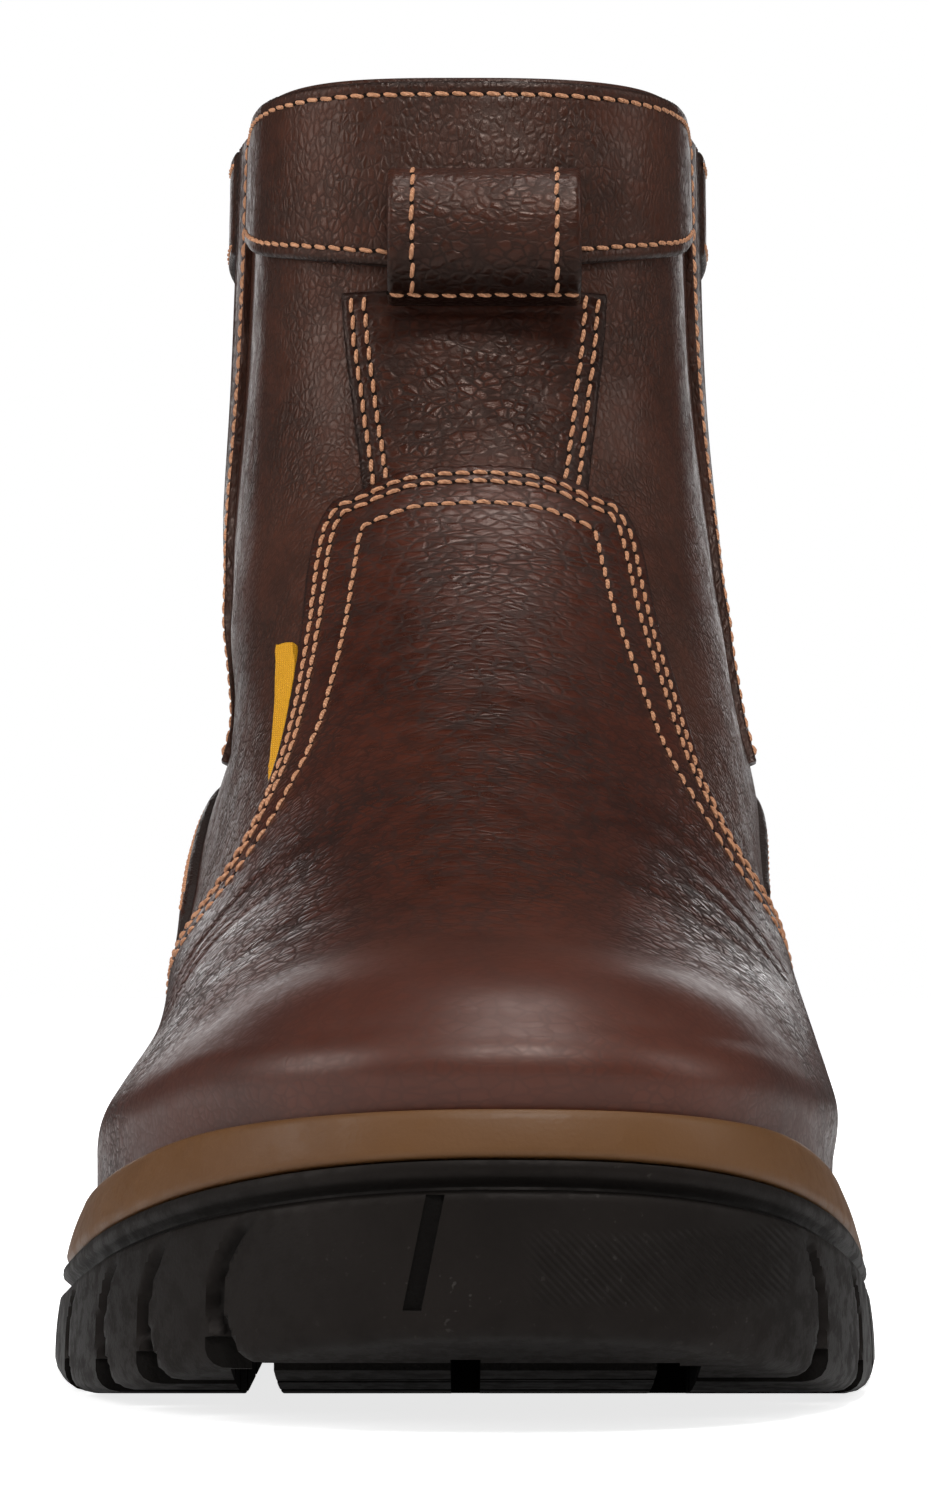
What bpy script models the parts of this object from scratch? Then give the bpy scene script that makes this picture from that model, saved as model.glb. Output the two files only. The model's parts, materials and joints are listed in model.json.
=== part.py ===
"""Pull-on work boot, right foot. Toe to -Y, heel to +Y, inner (medial) side to +X, standing on z = 0.

Sizes are in millimetres and become metres when a mesh is made.
"""
from collections import namedtuple
from math import cos, pi, radians, sin

import bmesh
import bpy
import numpy as np

MM = 0.001
GAP = 0.3                # clearance between pieces that meet
WALL = 2.0               # leather wall of the upper
OVERLAY = 1.3            # thickness of the leather overlays
BOOT_LENGTH = 305.0
TOE_Y = -BOOT_LENGTH / 2
HEEL_Y = BOOT_LENGTH / 2
BALL_HALF = 58.6         # outsole half-width at the ball
TOE_SWING = 4.0          # the toe tip leans this far to the inner side
SWING_START_Y = -60.0
COLUMNS = 48             # facets round the upper
RINGS = 21               # facets up the upper
OUTSOLE_STATIONS = 23    # facets along the sole pieces
MIDSOLE_STATIONS = 25
INSOLE_STATIONS = 21
LUG_DEPTH = 4.5
INSOLE_THICKNESS = 3.0
INSOLE_CLEAR = 0.5       # between the insole's edge and the upper's inner face

# Outsole outline and heights along the boot: half-widths, rubber top (rim), leather line (welt), footbed
SoleRow = namedtuple("SoleRow", "y lateral medial rim welt footbed")
SOLE_ROWS = (
    SoleRow(-152.5, 57.2, 56.2, 35.0, 41.3, 27.5),
    SoleRow(-127.0, 57.8, 56.3, 28.5, 36.6, 25.8),
    SoleRow(-110.0, 58.2, 56.8, 24.0, 32.6, 24.0),
    SoleRow(-85.0, 58.4, 57.4, 18.0, 27.5, 22.0),
    SoleRow(-55.0, 58.6, 58.4, 14.6, 23.2, 20.6),
    SoleRow(-20.0, 54.5, 53.0, 14.5, 22.6, 20.6),
    SoleRow(20.0, 47.0, 43.0, 16.0, 24.0, 22.4),
    SoleRow(60.0, 44.0, 42.0, 20.5, 27.5, 26.0),
    SoleRow(100.0, 43.5, 43.5, 24.0, 30.5, 29.0),
    SoleRow(152.5, 42.0, 42.0, 26.5, 32.5, 31.0),
)
MIDSOLE_FLOOR = 4.5      # midsole under the footbed
RECESS = 0.4             # least depth of the seat in the outsole's top
SEAT_INSET = 3.2         # width of the rubber wall round that seat
BAND_INSET_TOE = 3.6     # the tan band's top edge, measured in from the outsole's outline
BAND_INSET = 4.8
BAND_LIP = 0.9           # width of the band's top between its edge and the leather
FEATHER_LEVEL = 0.04     # the leather follows the sole's outline up to this level
FEATHER_BLEND = 0.08
FOOTBED_LEVEL = 0.05
TOE_CAP = 100.0          # length over which the toe outline rounds in
TOE_ROUND_LATERAL = 2.2  # superellipse exponents of the outline's ends
TOE_ROUND_MEDIAL = 2.5
HEEL_CAP = 46.0
HEEL_ROUND = 2.2

# Underside: toe spring, ball flat, arch and heel
SPRING_START_Y = -85.0
SPRING_HEIGHT = 12.0
SPRING_POWER = 1.8
ARCH_START_Y = -12.0
ARCH_RISE_LENGTH = 30.0
ARCH_HEIGHT = 9.0
BREAST_Y = 58.0
BREAST_RUN = 2.0
HEEL_BEVEL_Y = 138.0
HEEL_BEVEL_RISE = 2.0

# Sections of the upper from the welt (level 0) to the collar (level 1)
Section = namedtuple(
    "Section",
    "level front_y front_z back_y back_z "
    "ball_lateral ball_medial waist_lateral waist_medial heel_lateral heel_medial "
    "front_cap front_round back_cap back_round",
)
SECTIONS = (
    Section(0.0, -147.0, 41.0, 143.0, 32.4, 52.3, 53.0, 42.0, 38.5, 36.5, 36.0, 0.32, 2.40, 0.17, 2.2),
    Section(0.1, -144.0, 49.0, 145.0, 42.0, 49.2, 50.9, 41.8, 38.8, 36.8, 36.4, 0.33, 2.30, 0.18, 2.2),
    Section(0.2, -134.5, 56.8, 145.5, 52.0, 43.8, 49.0, 43.6, 41.0, 38.3, 37.8, 0.36, 2.20, 0.19, 2.2),
    Section(0.3, -111.0, 63.5, 145.0, 62.0, 43.2, 48.0, 45.0, 43.8, 38.8, 38.4, 0.40, 2.05, 0.21, 2.2),
    Section(0.4, -87.0, 71.5, 143.5, 72.0, 40.8, 47.0, 45.4, 46.8, 38.4, 38.6, 0.42, 2.00, 0.23, 2.2),
    Section(0.5, -63.0, 82.5, 141.5, 84.0, 39.0, 46.0, 42.8, 48.6, 37.0, 39.0, 0.40, 2.00, 0.26, 2.2),
    Section(0.6, -37.0, 97.5, 139.3, 98.0, 38.4, 45.0, 38.9, 46.8, 35.8, 38.8, 0.38, 2.10, 0.30, 2.3),
    Section(0.7, -13.0, 116.0, 138.5, 115.0, 39.3, 42.6, 41.0, 45.4, 36.0, 38.2, 0.37, 2.30, 0.34, 2.3),
    Section(0.8, 6.5, 137.0, 138.7, 136.0, 38.2, 40.0, 41.4, 42.9, 36.5, 37.4, 0.36, 2.55, 0.38, 2.4),
    Section(0.9, 14.7, 162.0, 140.3, 161.0, 36.6, 37.8, 40.9, 41.5, 37.5, 37.5, 0.32, 2.70, 0.42, 2.5),
    Section(1.0, 16.0, 201.0, 142.0, 201.0, 35.3, 36.6, 40.3, 41.2, 38.0, 38.2, 0.31, 2.75, 0.44, 2.6),
)
STATION_SHARES = (0.0, 0.33, 0.60, 0.84, 1.0)  # front end, ball, waist, heel and back end of a section
END_WIDTH_SHARE = 0.97
WELT_FADE_LEVEL = 0.5    # the welt's curve has died out at this level

# Edges of the overlays: level at each turn from the front centre, in degrees
EdgeRow = namedtuple("EdgeRow", "turn level")
VAMP_EDGE = (
    EdgeRow(0.0, 0.800), EdgeRow(10.0, 0.794), EdgeRow(18.0, 0.780), EdgeRow(25.0, 0.766),
    EdgeRow(29.0, 0.735), EdgeRow(32.0, 0.680), EdgeRow(36.0, 0.625), EdgeRow(42.0, 0.545),
    EdgeRow(50.0, 0.462), EdgeRow(60.0, 0.395), EdgeRow(77.0, 0.300), EdgeRow(99.0, 0.235),
)
COUNTER_EDGE = (
    EdgeRow(84.0, 0.40), EdgeRow(92.0, 0.47), EdgeRow(100.0, 0.52),
    EdgeRow(112.0, 0.55), EdgeRow(130.0, 0.57), EdgeRow(180.0, 0.60),
)
BAND_EDGE = (
    EdgeRow(0.0, 0.922), EdgeRow(40.0, 0.935), EdgeRow(83.0, 0.955),
    EdgeRow(140.0, 0.935), EdgeRow(180.0, 0.925),
)
FRONT_TURN = 1.5         # tongue and patch sit this far round to the inner side
VAMP_WING_TURN = 99.0
COUNTER_START_TURN = 84.0
COUNTER_FOOT_TURNS = (100.0, 100.5)  # the counter's foot drops from over the vamp's wing to the sole here
COUNTER_EDGE_CLEAR = 0.012
STRIP_TURN = 82.0        # middle of a side seam's strip at the collar
STRIP_HALF_TURN = 6.5
STRIP_FOOT_LEVEL = 0.56
STRIP_LEAN_TURN = 12.0   # the side seam turns back by this much at its foot, so it runs upright
STRIP_EDGE_CLEAR_TURN = 0.6
STRIP_BACK_CLEAR_TURN = 1.8
PATCH_HALF_TURN = 18.5
PATCH_EDGE_CLEAR = 0.007
PATCH_TOP_LEVEL = 0.914
TAB_TURNS = (43.5, 34.0)
TAB_EDGE_CLEAR = 0.008
TAB_TOP_LEVEL = 0.655
TAB_CORNER_TURN = 39.0
TAB_DROP = 0.027         # the tab's outer edge falls by this level for each degree beyond its corner
TAB_THICKNESS = 0.9

# Side grooves of the outsole and bars cut into its tread
LATERAL_GROOVES = (-135.0, -120.0, -95.0, -65.0, -38.0, 78.0, 102.0, 126.0)
MEDIAL_GROOVES = (-115.0, -80.0, -52.0, -26.0, 78.0, 102.0, 126.0)
GROOVE_WIDTH = 3.0
GROOVE_SLOPE = 0.8
GROOVE_DEPTH = 1.2
CENTRE_GROOVES = (-112.0, -86.0, -58.0, -32.0)
TOE_GROOVE = (-139.0, -129.0)  # wide groove between the toe bumper and the first inner lugs
LUG_COLUMN_X = 27.0
HEEL_CORE_X = 17.0
LONG_GROOVE_WIDTH = 5.4
LONG_GROOVE_FACETS = 6
LONG_GROOVE_STARTS = ((-LUG_COLUMN_X, -146.0), (0.0, TOE_Y - 4.0), (LUG_COLUMN_X, -148.0))
FOREFOOT_CUT_END_Y = -6.0
TOE_NOTCH_X = -4.0
TOE_NOTCH_WIDTH = 2.2
TOE_NOTCH_DEPTH = 1.6
TOE_NOTCH_BELOW_RIM = 5.5
CUTTER_FLOOR_Z = -4.0    # cutting bars start below the tread
CUTTER_REACH = 8.0       # and end outside the outline
BAND_FOOT_INSET = 2.2    # the tan band's foot, its face's foot and the roll at its top
BAND_FACE_INSET = 1.9
BAND_FACE_SHARE = 0.12
BAND_ROLL_SHARE = 0.86
BAND_ROLL = 0.7

# Pull loop: strap profile in front of the shaft
LOOP_WIDTH = 31.0
LOOP_X = 3.0             # the loop's middle, over the tongue's
LOOP_BOTTOM_Z = 164.0
LOOP_TOP_Z = 186.0
LOOP_REACH = 10.5
STRAP = 2.2
STRAP_BULGE = 0.75       # exponents of the strap's rounded front
STRAP_SHOULDER = 0.85
STRAP_BACK_FACETS = 4
STRAP_FRONT_FACETS = 12
LOOP_SEAT_LEVEL = 0.905

LEATHER = (0.050, 0.021, 0.014)
LEATHER_TOE = (0.075, 0.024, 0.013)
TAB_YELLOW = (0.75, 0.37, 0.012)


def clear_scene():
    for old in list(bpy.data.objects):
        bpy.data.objects.remove(old)


def through(knots, values, at):
    """Smooth curve through a few table values."""
    knots = np.asarray(knots, float)
    values = np.asarray(values, float)
    slopes = np.gradient(values, knots)
    place = int(np.clip(np.searchsorted(knots, at) - 1, 0, len(knots) - 2))
    run = knots[place + 1] - knots[place]
    share = float(np.clip((at - knots[place]) / run, 0.0, 1.0))
    rise = share * share * (3.0 - 2.0 * share)
    lean_start = share * (1.0 - share) ** 2 * run
    lean_end = share * share * (share - 1.0) * run
    return (values[place] * (1.0 - rise) + values[place + 1] * rise
            + slopes[place] * lean_start + slopes[place + 1] * lean_end)


def column(rows, field):
    return [getattr(row, field) for row in rows]


def ease(share):
    share = min(max(share, 0.0), 1.0)
    return share * share * (3.0 - 2.0 * share)


def swing(y):
    """Sideways lean of the toe."""
    ahead = max(0.0, SWING_START_Y - y) / (SWING_START_Y - TOE_Y)
    return TOE_SWING * ahead * ahead


def round_end(share, power):
    """Superellipse end of an outline: 0 at its tip, 1 from share 1 on."""
    inward = min(max(1.0 - share, 0.0), 1.0)
    return (1.0 - inward ** power) ** (1.0 / power)


def rim_z(y):
    return through(column(SOLE_ROWS, "y"), column(SOLE_ROWS, "rim"), y)


def welt_z(y):
    return through(column(SOLE_ROWS, "y"), column(SOLE_ROWS, "welt"), y)


def footbed_z(y):
    return through(column(SOLE_ROWS, "y"), column(SOLE_ROWS, "footbed"), y)


def seat_z(y):
    """Floor of the seat in the outsole that holds the midsole; deep behind the toe bumper."""
    return min(rim_z(y) - RECESS, footbed_z(y) - MIDSOLE_FLOOR)


def band_inset(y):
    return BAND_INSET_TOE + (BAND_INSET - BAND_INSET_TOE) * ease((y - TOE_Y) / 60.0)


def feather_inset(y):
    """Inset of the leather's lower edge, clear of the band's lip with an overlay's thickness to spare."""
    return band_inset(y) + BAND_LIP + OVERLAY + 2.5 * GAP


def tread_z(y):
    """Height of the underside: toe spring, arch and the bevel at the back of the heel."""
    spring = max(0.0, SPRING_START_Y - y) / (SPRING_START_Y - TOE_Y)
    rise = SPRING_HEIGHT * spring ** SPRING_POWER
    arch = ease((y - ARCH_START_Y) / ARCH_RISE_LENGTH) * ease((BREAST_Y + BREAST_RUN - y) / BREAST_RUN)
    bevel = max(0.0, y - HEEL_BEVEL_Y) / (HEEL_Y - HEEL_BEVEL_Y)
    return rise + ARCH_HEIGHT * arch + HEEL_BEVEL_RISE * bevel ** 2


def sole_half(y, side):
    """Half-width of the outsole at y on the inner (side 1) or outer (side -1) edge."""
    field = "medial" if side > 0 else "lateral"
    toe_round = TOE_ROUND_MEDIAL if side > 0 else TOE_ROUND_LATERAL
    width = through(column(SOLE_ROWS, "y"), column(SOLE_ROWS, field), y)
    toe = round_end((y - TOE_Y) / TOE_CAP, toe_round)
    heel = round_end((HEEL_Y - y) / HEEL_CAP, HEEL_ROUND)
    return width * toe * heel


def sole_point(y, side, inset):
    """Point of the outline at station y, moved inward by inset along the outline's own normal."""
    step = 0.02
    near = min(max(y, TOE_Y + step), HEEL_Y - step)
    edge = sole_half(y, side)
    slope = (sole_half(near + step, side) - sole_half(near - step, side)) / (2.0 * step)
    length = (1.0 + slope * slope) ** 0.5
    x = side * max(0.0, edge - inset / length)
    back = y + inset * slope / length
    return x + swing(back), back


def make_material(name, colour, roughness):
    material = bpy.data.materials.new(name)
    material.use_nodes = True
    shader = material.node_tree.nodes["Principled BSDF"]
    shader.inputs["Base Color"].default_value = (*colour, 1.0)
    shader.inputs["Roughness"].default_value = roughness
    shader.inputs["Metallic"].default_value = 0.0
    return material


def make_piece(name, points, faces, colour, roughness):
    """Mesh object from millimetre points, with its faces turned outward."""
    mesh = bpy.data.meshes.new(name)
    mesh.from_pydata([tuple(c * MM for c in p) for p in points], [], faces)
    work = bmesh.new()
    work.from_mesh(mesh)
    bmesh.ops.recalc_face_normals(work, faces=work.faces)
    work.to_mesh(mesh)
    work.free()
    mesh.shade_smooth()
    mesh.set_sharp_from_angle(angle=radians(40.0))
    piece = bpy.data.objects.new(name, mesh)
    bpy.context.scene.collection.objects.link(piece)
    mesh.materials.append(make_material(name + "_finish", colour, roughness))
    return piece


def split(a, b, c, d):
    """Two triangles of a quad, always cut along the same diagonal; pinched corners drop out."""
    halves = ((a, b, c), (a, c, d))
    return [half for half in halves if len(set(half)) == 3]


def plate_faces(count, rings):
    """Faces of a plate lofted through closed rings, closed by straight ladders underneath and on top.

    Each ring runs from the toe tip down the inner side to the heel and back up the outer side.
    """
    size = 2 * count - 2
    faces = []
    for ring in range(rings - 1):
        for k in range(size):
            low = ring * size + k
            low_next = ring * size + (k + 1) % size
            faces += split(low, low_next, low_next + size, low + size)
    for base in (0, (rings - 1) * size):
        for k in range(count - 1):
            inner = base + k
            inner_next = base + k + 1
            outer = base + (size - k) % size
            outer_next = base + size - k - 1
            faces += split(inner, inner_next, outer_next, outer)
    return faces


def end_stations(count):
    """Stations along the boot, close together at toe and heel."""
    return [(TOE_Y + HEEL_Y) / 2 + TOE_Y * cos(pi * k / (count - 1)) for k in range(count)]


def both_sides(stations):
    """(station, side) pairs round the outline: inner side toe to heel, then outer side back."""
    inner = [(y, 1.0) for y in stations]
    outer = [(y, -1.0) for y in reversed(stations[1:-1])]
    return inner + outer


def groove_inset(y, side):
    """Depth of the vertical side grooves at a station."""
    half = GROOVE_WIDTH / 2
    grooves = MEDIAL_GROOVES if side > 0 else LATERAL_GROOVES
    nearest = min(abs(y - groove) for groove in grooves)
    return GROOVE_DEPTH * min(max((half + GROOVE_SLOPE - nearest) / GROOVE_SLOPE, 0.0), 1.0)


def outsole_stations():
    """Stations at both ends, at the heel breast and at each edge of each side groove."""
    stations = set(end_stations(OUTSOLE_STATIONS))
    for groove in set(LATERAL_GROOVES) | set(MEDIAL_GROOVES):
        half = GROOVE_WIDTH / 2
        stations = {y for y in stations if abs(y - groove) > half + 2.0 * GROOVE_SLOPE}
        stations |= {groove - half - GROOVE_SLOPE, groove - half, groove + half, groove + half + GROOVE_SLOPE}
    stations |= {ARCH_START_Y, ARCH_START_Y + ARCH_RISE_LENGTH / 2, BREAST_Y, BREAST_Y + BREAST_RUN}
    return sorted(stations)


# Rings of the outsole's side: inset, height from the tread or the rim (or the seat's floor), groove share
SideRing = namedtuple("SideRing", "inset above_tread below_rim groove")
OUTSOLE_SIDE = (
    SideRing(2.0, 0.0, None, 1.0),
    SideRing(0.3, 2.2, None, 1.0),
    SideRing(1.0, None, 4.6, 1.0),
    SideRing(2.6, None, 3.6, 0.0),
    SideRing(2.6, None, 2.8, 0.0),
    SideRing(1.5, None, 1.9, 0.0),
    SideRing(1.9, None, 0.0, 0.0),
    SideRing(SEAT_INSET, None, 0.0, 0.0),
    SideRing(SEAT_INSET, None, None, 0.0),
)


def make_cutter(name, box_points, faces, group):
    cutter = make_piece(name, box_points, faces, LEATHER, 0.5)
    cutter.hide_render = True
    cutter.display_type = "WIRE"
    bpy.context.scene.collection.objects.unlink(cutter)
    group.objects.link(cutter)


def groove_bar(x_low, x_high, y_low, y_high, roof, pieces):
    """Closed bar whose roof follows a height function of y; its floor is below the tread."""
    points = []
    for k in range(pieces + 1):
        y = y_low + (y_high - y_low) * k / pieces
        points += [(x_low, y, CUTTER_FLOOR_Z), (x_high, y, CUTTER_FLOOR_Z)]
        points += [(x_high, y, roof(y)), (x_low, y, roof(y))]
    faces = [(3, 2, 1, 0)]
    for k in range(pieces):
        for corner in range(4):
            low = 4 * k + corner
            turn = 4 * k + (corner + 1) % 4
            faces.append((low, turn, turn + 4, low + 4))
    last = 4 * pieces
    faces.append((last, last + 1, last + 2, last + 3))
    return points, faces


def make_outsole():
    """Rubber sole with toe spring, arch, heel, grooved side, rim ledge and cut lugs."""
    stations = outsole_stations()
    pairs = both_sides(stations)
    points = []
    for ring in OUTSOLE_SIDE:
        for station, side in pairs:
            inset = ring.inset + ring.groove * groove_inset(station, side)
            x, y = sole_point(station, side, inset)
            if ring.above_tread is not None:
                z = tread_z(station) + ring.above_tread
            elif ring.below_rim is not None:
                z = rim_z(y) - ring.below_rim
            else:
                z = seat_z(y)
            points.append((x, y, z))
    faces = plate_faces(len(stations), len(OUTSOLE_SIDE))
    outsole = make_piece("outsole", points, faces, (0.019, 0.016, 0.015), 0.6)

    bars = bpy.data.collections.new("tread_cutters")
    bpy.context.scene.collection.children.link(bars)

    def lug_roof(y):
        return tread_z(y) + LUG_DEPTH

    reach = BALL_HALF + CUTTER_REACH
    half = GROOVE_WIDTH / 2
    for side, grooves in ((1.0, MEDIAL_GROOVES), (-1.0, LATERAL_GROOVES)):
        for groove in grooves:
            inner = HEEL_CORE_X if groove > BREAST_Y else LUG_COLUMN_X
            low, high = sorted((side * inner, side * reach))
            make_cutter("side_bar", *groove_bar(low, high, groove - half, groove + half, lug_roof, 1), bars)
    for groove in CENTRE_GROOVES:
        bar = groove_bar(-LUG_COLUMN_X, LUG_COLUMN_X, groove - half, groove + half, lug_roof, 1)
        make_cutter("centre_bar", *bar, bars)
    toe_bar = groove_bar(-LUG_COLUMN_X, LUG_COLUMN_X, *TOE_GROOVE, lug_roof, 1)
    make_cutter("toe_bar", *toe_bar, bars)
    for x, start in LONG_GROOVE_STARTS:
        low = x - LONG_GROOVE_WIDTH / 2
        high = x + LONG_GROOVE_WIDTH / 2
        bar = groove_bar(low, high, start, FOREFOOT_CUT_END_Y, lug_roof, LONG_GROOVE_FACETS)
        make_cutter("long_bar", *bar, bars)
    notch_roof = rim_z(TOE_Y) - TOE_NOTCH_BELOW_RIM
    notch = groove_bar(TOE_NOTCH_X, TOE_NOTCH_X + TOE_NOTCH_WIDTH,
                       TOE_Y - CUTTER_REACH, TOE_Y + TOE_NOTCH_DEPTH, lambda y: notch_roof, 1)
    make_cutter("toe_notch", *notch, bars)

    cut = outsole.modifiers.new("lugs", "BOOLEAN")
    cut.operation = "DIFFERENCE"
    cut.operand_type = "COLLECTION"
    cut.collection = bars
    cut.solver = "EXACT"


def make_midsole():
    """Cup that stands in the outsole's seat: a tan band round the outside, a floor under the footbed."""
    stations = end_stations(MIDSOLE_STATIONS)
    pairs = both_sides(stations)

    def band(share):
        return lambda y: rim_z(y) + GAP + share * (welt_z(y) - rim_z(y) - GAP)

    boss = SEAT_INSET + 2.0 * GAP
    rings = (
        (lambda y: boss, lambda y: seat_z(y) + GAP),
        (lambda y: boss, band(0.0)),
        (lambda y: BAND_FOOT_INSET, band(0.0)),
        (lambda y: BAND_FACE_INSET, band(BAND_FACE_SHARE)),
        (lambda y: band_inset(y) - BAND_ROLL, band(BAND_ROLL_SHARE)),
        (band_inset, band(1.0)),
        (lambda y: band_inset(y) + BAND_LIP, band(1.0)),
        (lambda y: band_inset(y) + BAND_LIP, footbed_z),
    )
    points = []
    for inset, height in rings:
        for station, side in pairs:
            x, y = sole_point(station, side, inset(station))
            points.append((x, y, height(y)))
    make_piece("midsole", points, plate_faces(len(stations), len(rings)), (0.165, 0.075, 0.026), 0.45)


def section_at(level):
    """Section values at any level between the table's rows."""
    levels = column(SECTIONS, "level")
    return Section(*(through(levels, column(SECTIONS, field), level) for field in Section._fields))


def section_point(section, turn):
    """Outer surface point on a section; turn runs from the front centre, positive on the inner side."""
    share = (1.0 - cos(turn)) / 2.0
    y = section.front_y + share * (section.back_y - section.front_y)
    if sin(turn) >= 0.0:
        widths = (section.ball_medial, section.waist_medial, section.heel_medial)
    else:
        widths = (section.ball_lateral, section.waist_lateral, section.heel_lateral)
    ends = (widths[0] * END_WIDTH_SHARE, *widths, widths[2] * END_WIDTH_SHARE)
    width = through(STATION_SHARES, ends, share)
    front = round_end(share / section.front_cap, section.front_round)
    back = round_end((1.0 - share) / section.back_cap, section.back_round)
    side = 1.0 if sin(turn) >= 0.0 else -1.0
    height = section.front_z + share * (section.back_z - section.front_z)
    welt_line = SECTIONS[0].front_z + share * (SECTIONS[0].back_z - SECTIONS[0].front_z)
    fade = max(0.0, 1.0 - section.level / WELT_FADE_LEVEL) ** 1.5
    z = height + (welt_z(y) - welt_line) * fade
    x = side * width * front * back + swing(y)
    grown = ease((section.level - FEATHER_LEVEL) / FEATHER_BLEND)
    if grown < 1.0:
        station = TOE_Y + share * BOOT_LENGTH
        foot_x, foot_y = sole_point(station, side, feather_inset(station))
        x = foot_x + grown * (x - foot_x)
        y = foot_y + grown * (y - foot_y)
    lift = min(section.level / FOOTBED_LEVEL, 1.0)
    foot_z = footbed_z(y) + GAP
    return np.array((x, y, foot_z + lift * (z - foot_z)))


LEVELS = tuple(np.linspace(0.0, 1.0, RINGS))
TURNS = tuple(2.0 * pi * k / COLUMNS for k in range(COLUMNS))


def surface_normal(level, turn):
    step = 0.004
    low = section_point(section_at(max(level - step, 0.0)), turn)
    high = section_point(section_at(min(level + step, 1.0)), turn)
    section = section_at(level)
    across = section_point(section, turn + 2.0 * step) - section_point(section, turn - 2.0 * step)
    normal = np.cross(across, high - low)
    return normal / np.linalg.norm(normal)


def upper_grid():
    """Points and outward normals of the upper's outer face, ring by ring."""
    sections = [section_at(level) for level in LEVELS]
    outer = np.array([[section_point(section, turn) for turn in TURNS] for section in sections])
    normals = np.array([[surface_normal(level, turn) for turn in TURNS] for level in LEVELS])
    return outer, normals


def make_upper(outer, normals):
    """Hollow leather upper: outer face, inner face one wall inside it, and the two open rims."""
    inner = outer - WALL * normals
    inner[-1, :, 2] = outer[-1, :, 2]
    inner[0, :, 2] = [footbed_z(y) + GAP for y in inner[0, :, 1]]
    points = list(outer.reshape(-1, 3)) + list(inner.reshape(-1, 3))
    skin = RINGS * COLUMNS
    faces = []
    for k in range(COLUMNS):
        beside = (k + 1) % COLUMNS
        for ring in range(RINGS - 1):
            a = ring * COLUMNS + k
            b = ring * COLUMNS + beside
            faces += split(a, b, b + COLUMNS, a + COLUMNS)
            faces += [tuple(skin + v for v in face[::-1]) for face in split(a, b, b + COLUMNS, a + COLUMNS)]
        for rim in (0, (RINGS - 1) * COLUMNS):
            faces += split(rim + k, rim + beside, skin + rim + beside, skin + rim + k)
    make_piece("upper", points, faces, LEATHER, 0.45)


def grid_at(grid, level, turn_degrees):
    """Value of the faceted grid at any level and turn, along its straight facet lines."""
    place = (turn_degrees % 360.0) / 360.0 * COLUMNS
    left = int(place) % COLUMNS
    aside = place - int(place)
    height = min(max(level, 0.0), 1.0) * (RINGS - 1)
    low = min(int(height), RINGS - 2)
    up = height - low
    lower = grid[low, left] * (1.0 - aside) + grid[low, (left + 1) % COLUMNS] * aside
    upper = grid[low + 1, left] * (1.0 - aside) + grid[low + 1, (left + 1) % COLUMNS] * aside
    return lower * (1.0 - up) + upper * up


def lifted(base, lift, height, level):
    """Point above the upper's face; a panel's foot stays on the midsole, its top at the collar."""
    x, y, z = base + lift * height
    if level == 0.0:
        z = footbed_z(y) + GAP
    if level == 1.0:
        z = base[2]
    return np.array((x, y, z))


def make_overlay(name, grids, turns, low_edge, high_edge, thickness, colour, roughness, lean=0.0):
    """Leather panel over the upper, between two level edges, with facets parallel to the upper's own.

    A leaning panel turns back by lean degrees from the collar to its foot.
    """
    outer, normals = grids
    points = []
    faces = []
    index = []
    for turn in turns:
        low = low_edge(turn)
        high = high_edge(turn)
        levels = [min(max(level, low), high) for level in LEVELS]
        rows = []
        for place, level in enumerate(levels):
            if place == 0 or level > levels[place - 1]:
                turned = turn + lean * (1.0 - level) / (1.0 - low)
                base = grid_at(outer, level, turned)
                lift = grid_at(normals, level, turned)
                rows.append(len(points))
                points += [lifted(base, lift, GAP, level), lifted(base, lift, GAP + thickness, level)]
            else:
                rows.append(rows[-1])
        if levels[-1] < high or levels[0] > low:
            raise ValueError("overlay edge outside the upper: " + name)
        index.append(rows)
    last = len(LEVELS) - 1
    for k in range(len(turns) - 1):
        here = index[k]
        beside = index[k + 1]
        for row in range(last):
            quad = split(here[row], beside[row], beside[row + 1], here[row + 1])
            faces += [tuple(v + 1 for v in face) for face in quad]
            faces += [face[::-1] for face in quad]
        for edge in (0, last):
            faces += split(here[edge], beside[edge], beside[edge] + 1, here[edge] + 1)
    for rows in (index[0], index[-1]):
        for row in range(last):
            if rows[row] != rows[row + 1]:
                faces += split(rows[row], rows[row + 1], rows[row + 1] + 1, rows[row] + 1)
    make_piece(name, points, faces, colour, roughness)


def edge_level(rows, middle=0.0):
    """Level of an overlay's edge at a turn, the same on both sides of its middle."""
    turns = column(rows, "turn")
    levels = column(rows, "level")
    return lambda turn: through(turns, levels, abs((turn - middle + 180.0) % 360.0 - 180.0))


def turns_between(start, end):
    """Facet columns from start to end in degrees, with the two ends themselves."""
    step = 360.0 / COLUMNS
    first = int(np.ceil((start + 1.0) / step))
    last = int(np.floor((end - 1.0) / step))
    return [start] + [k * step for k in range(first, last + 1)] + [end]


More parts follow.
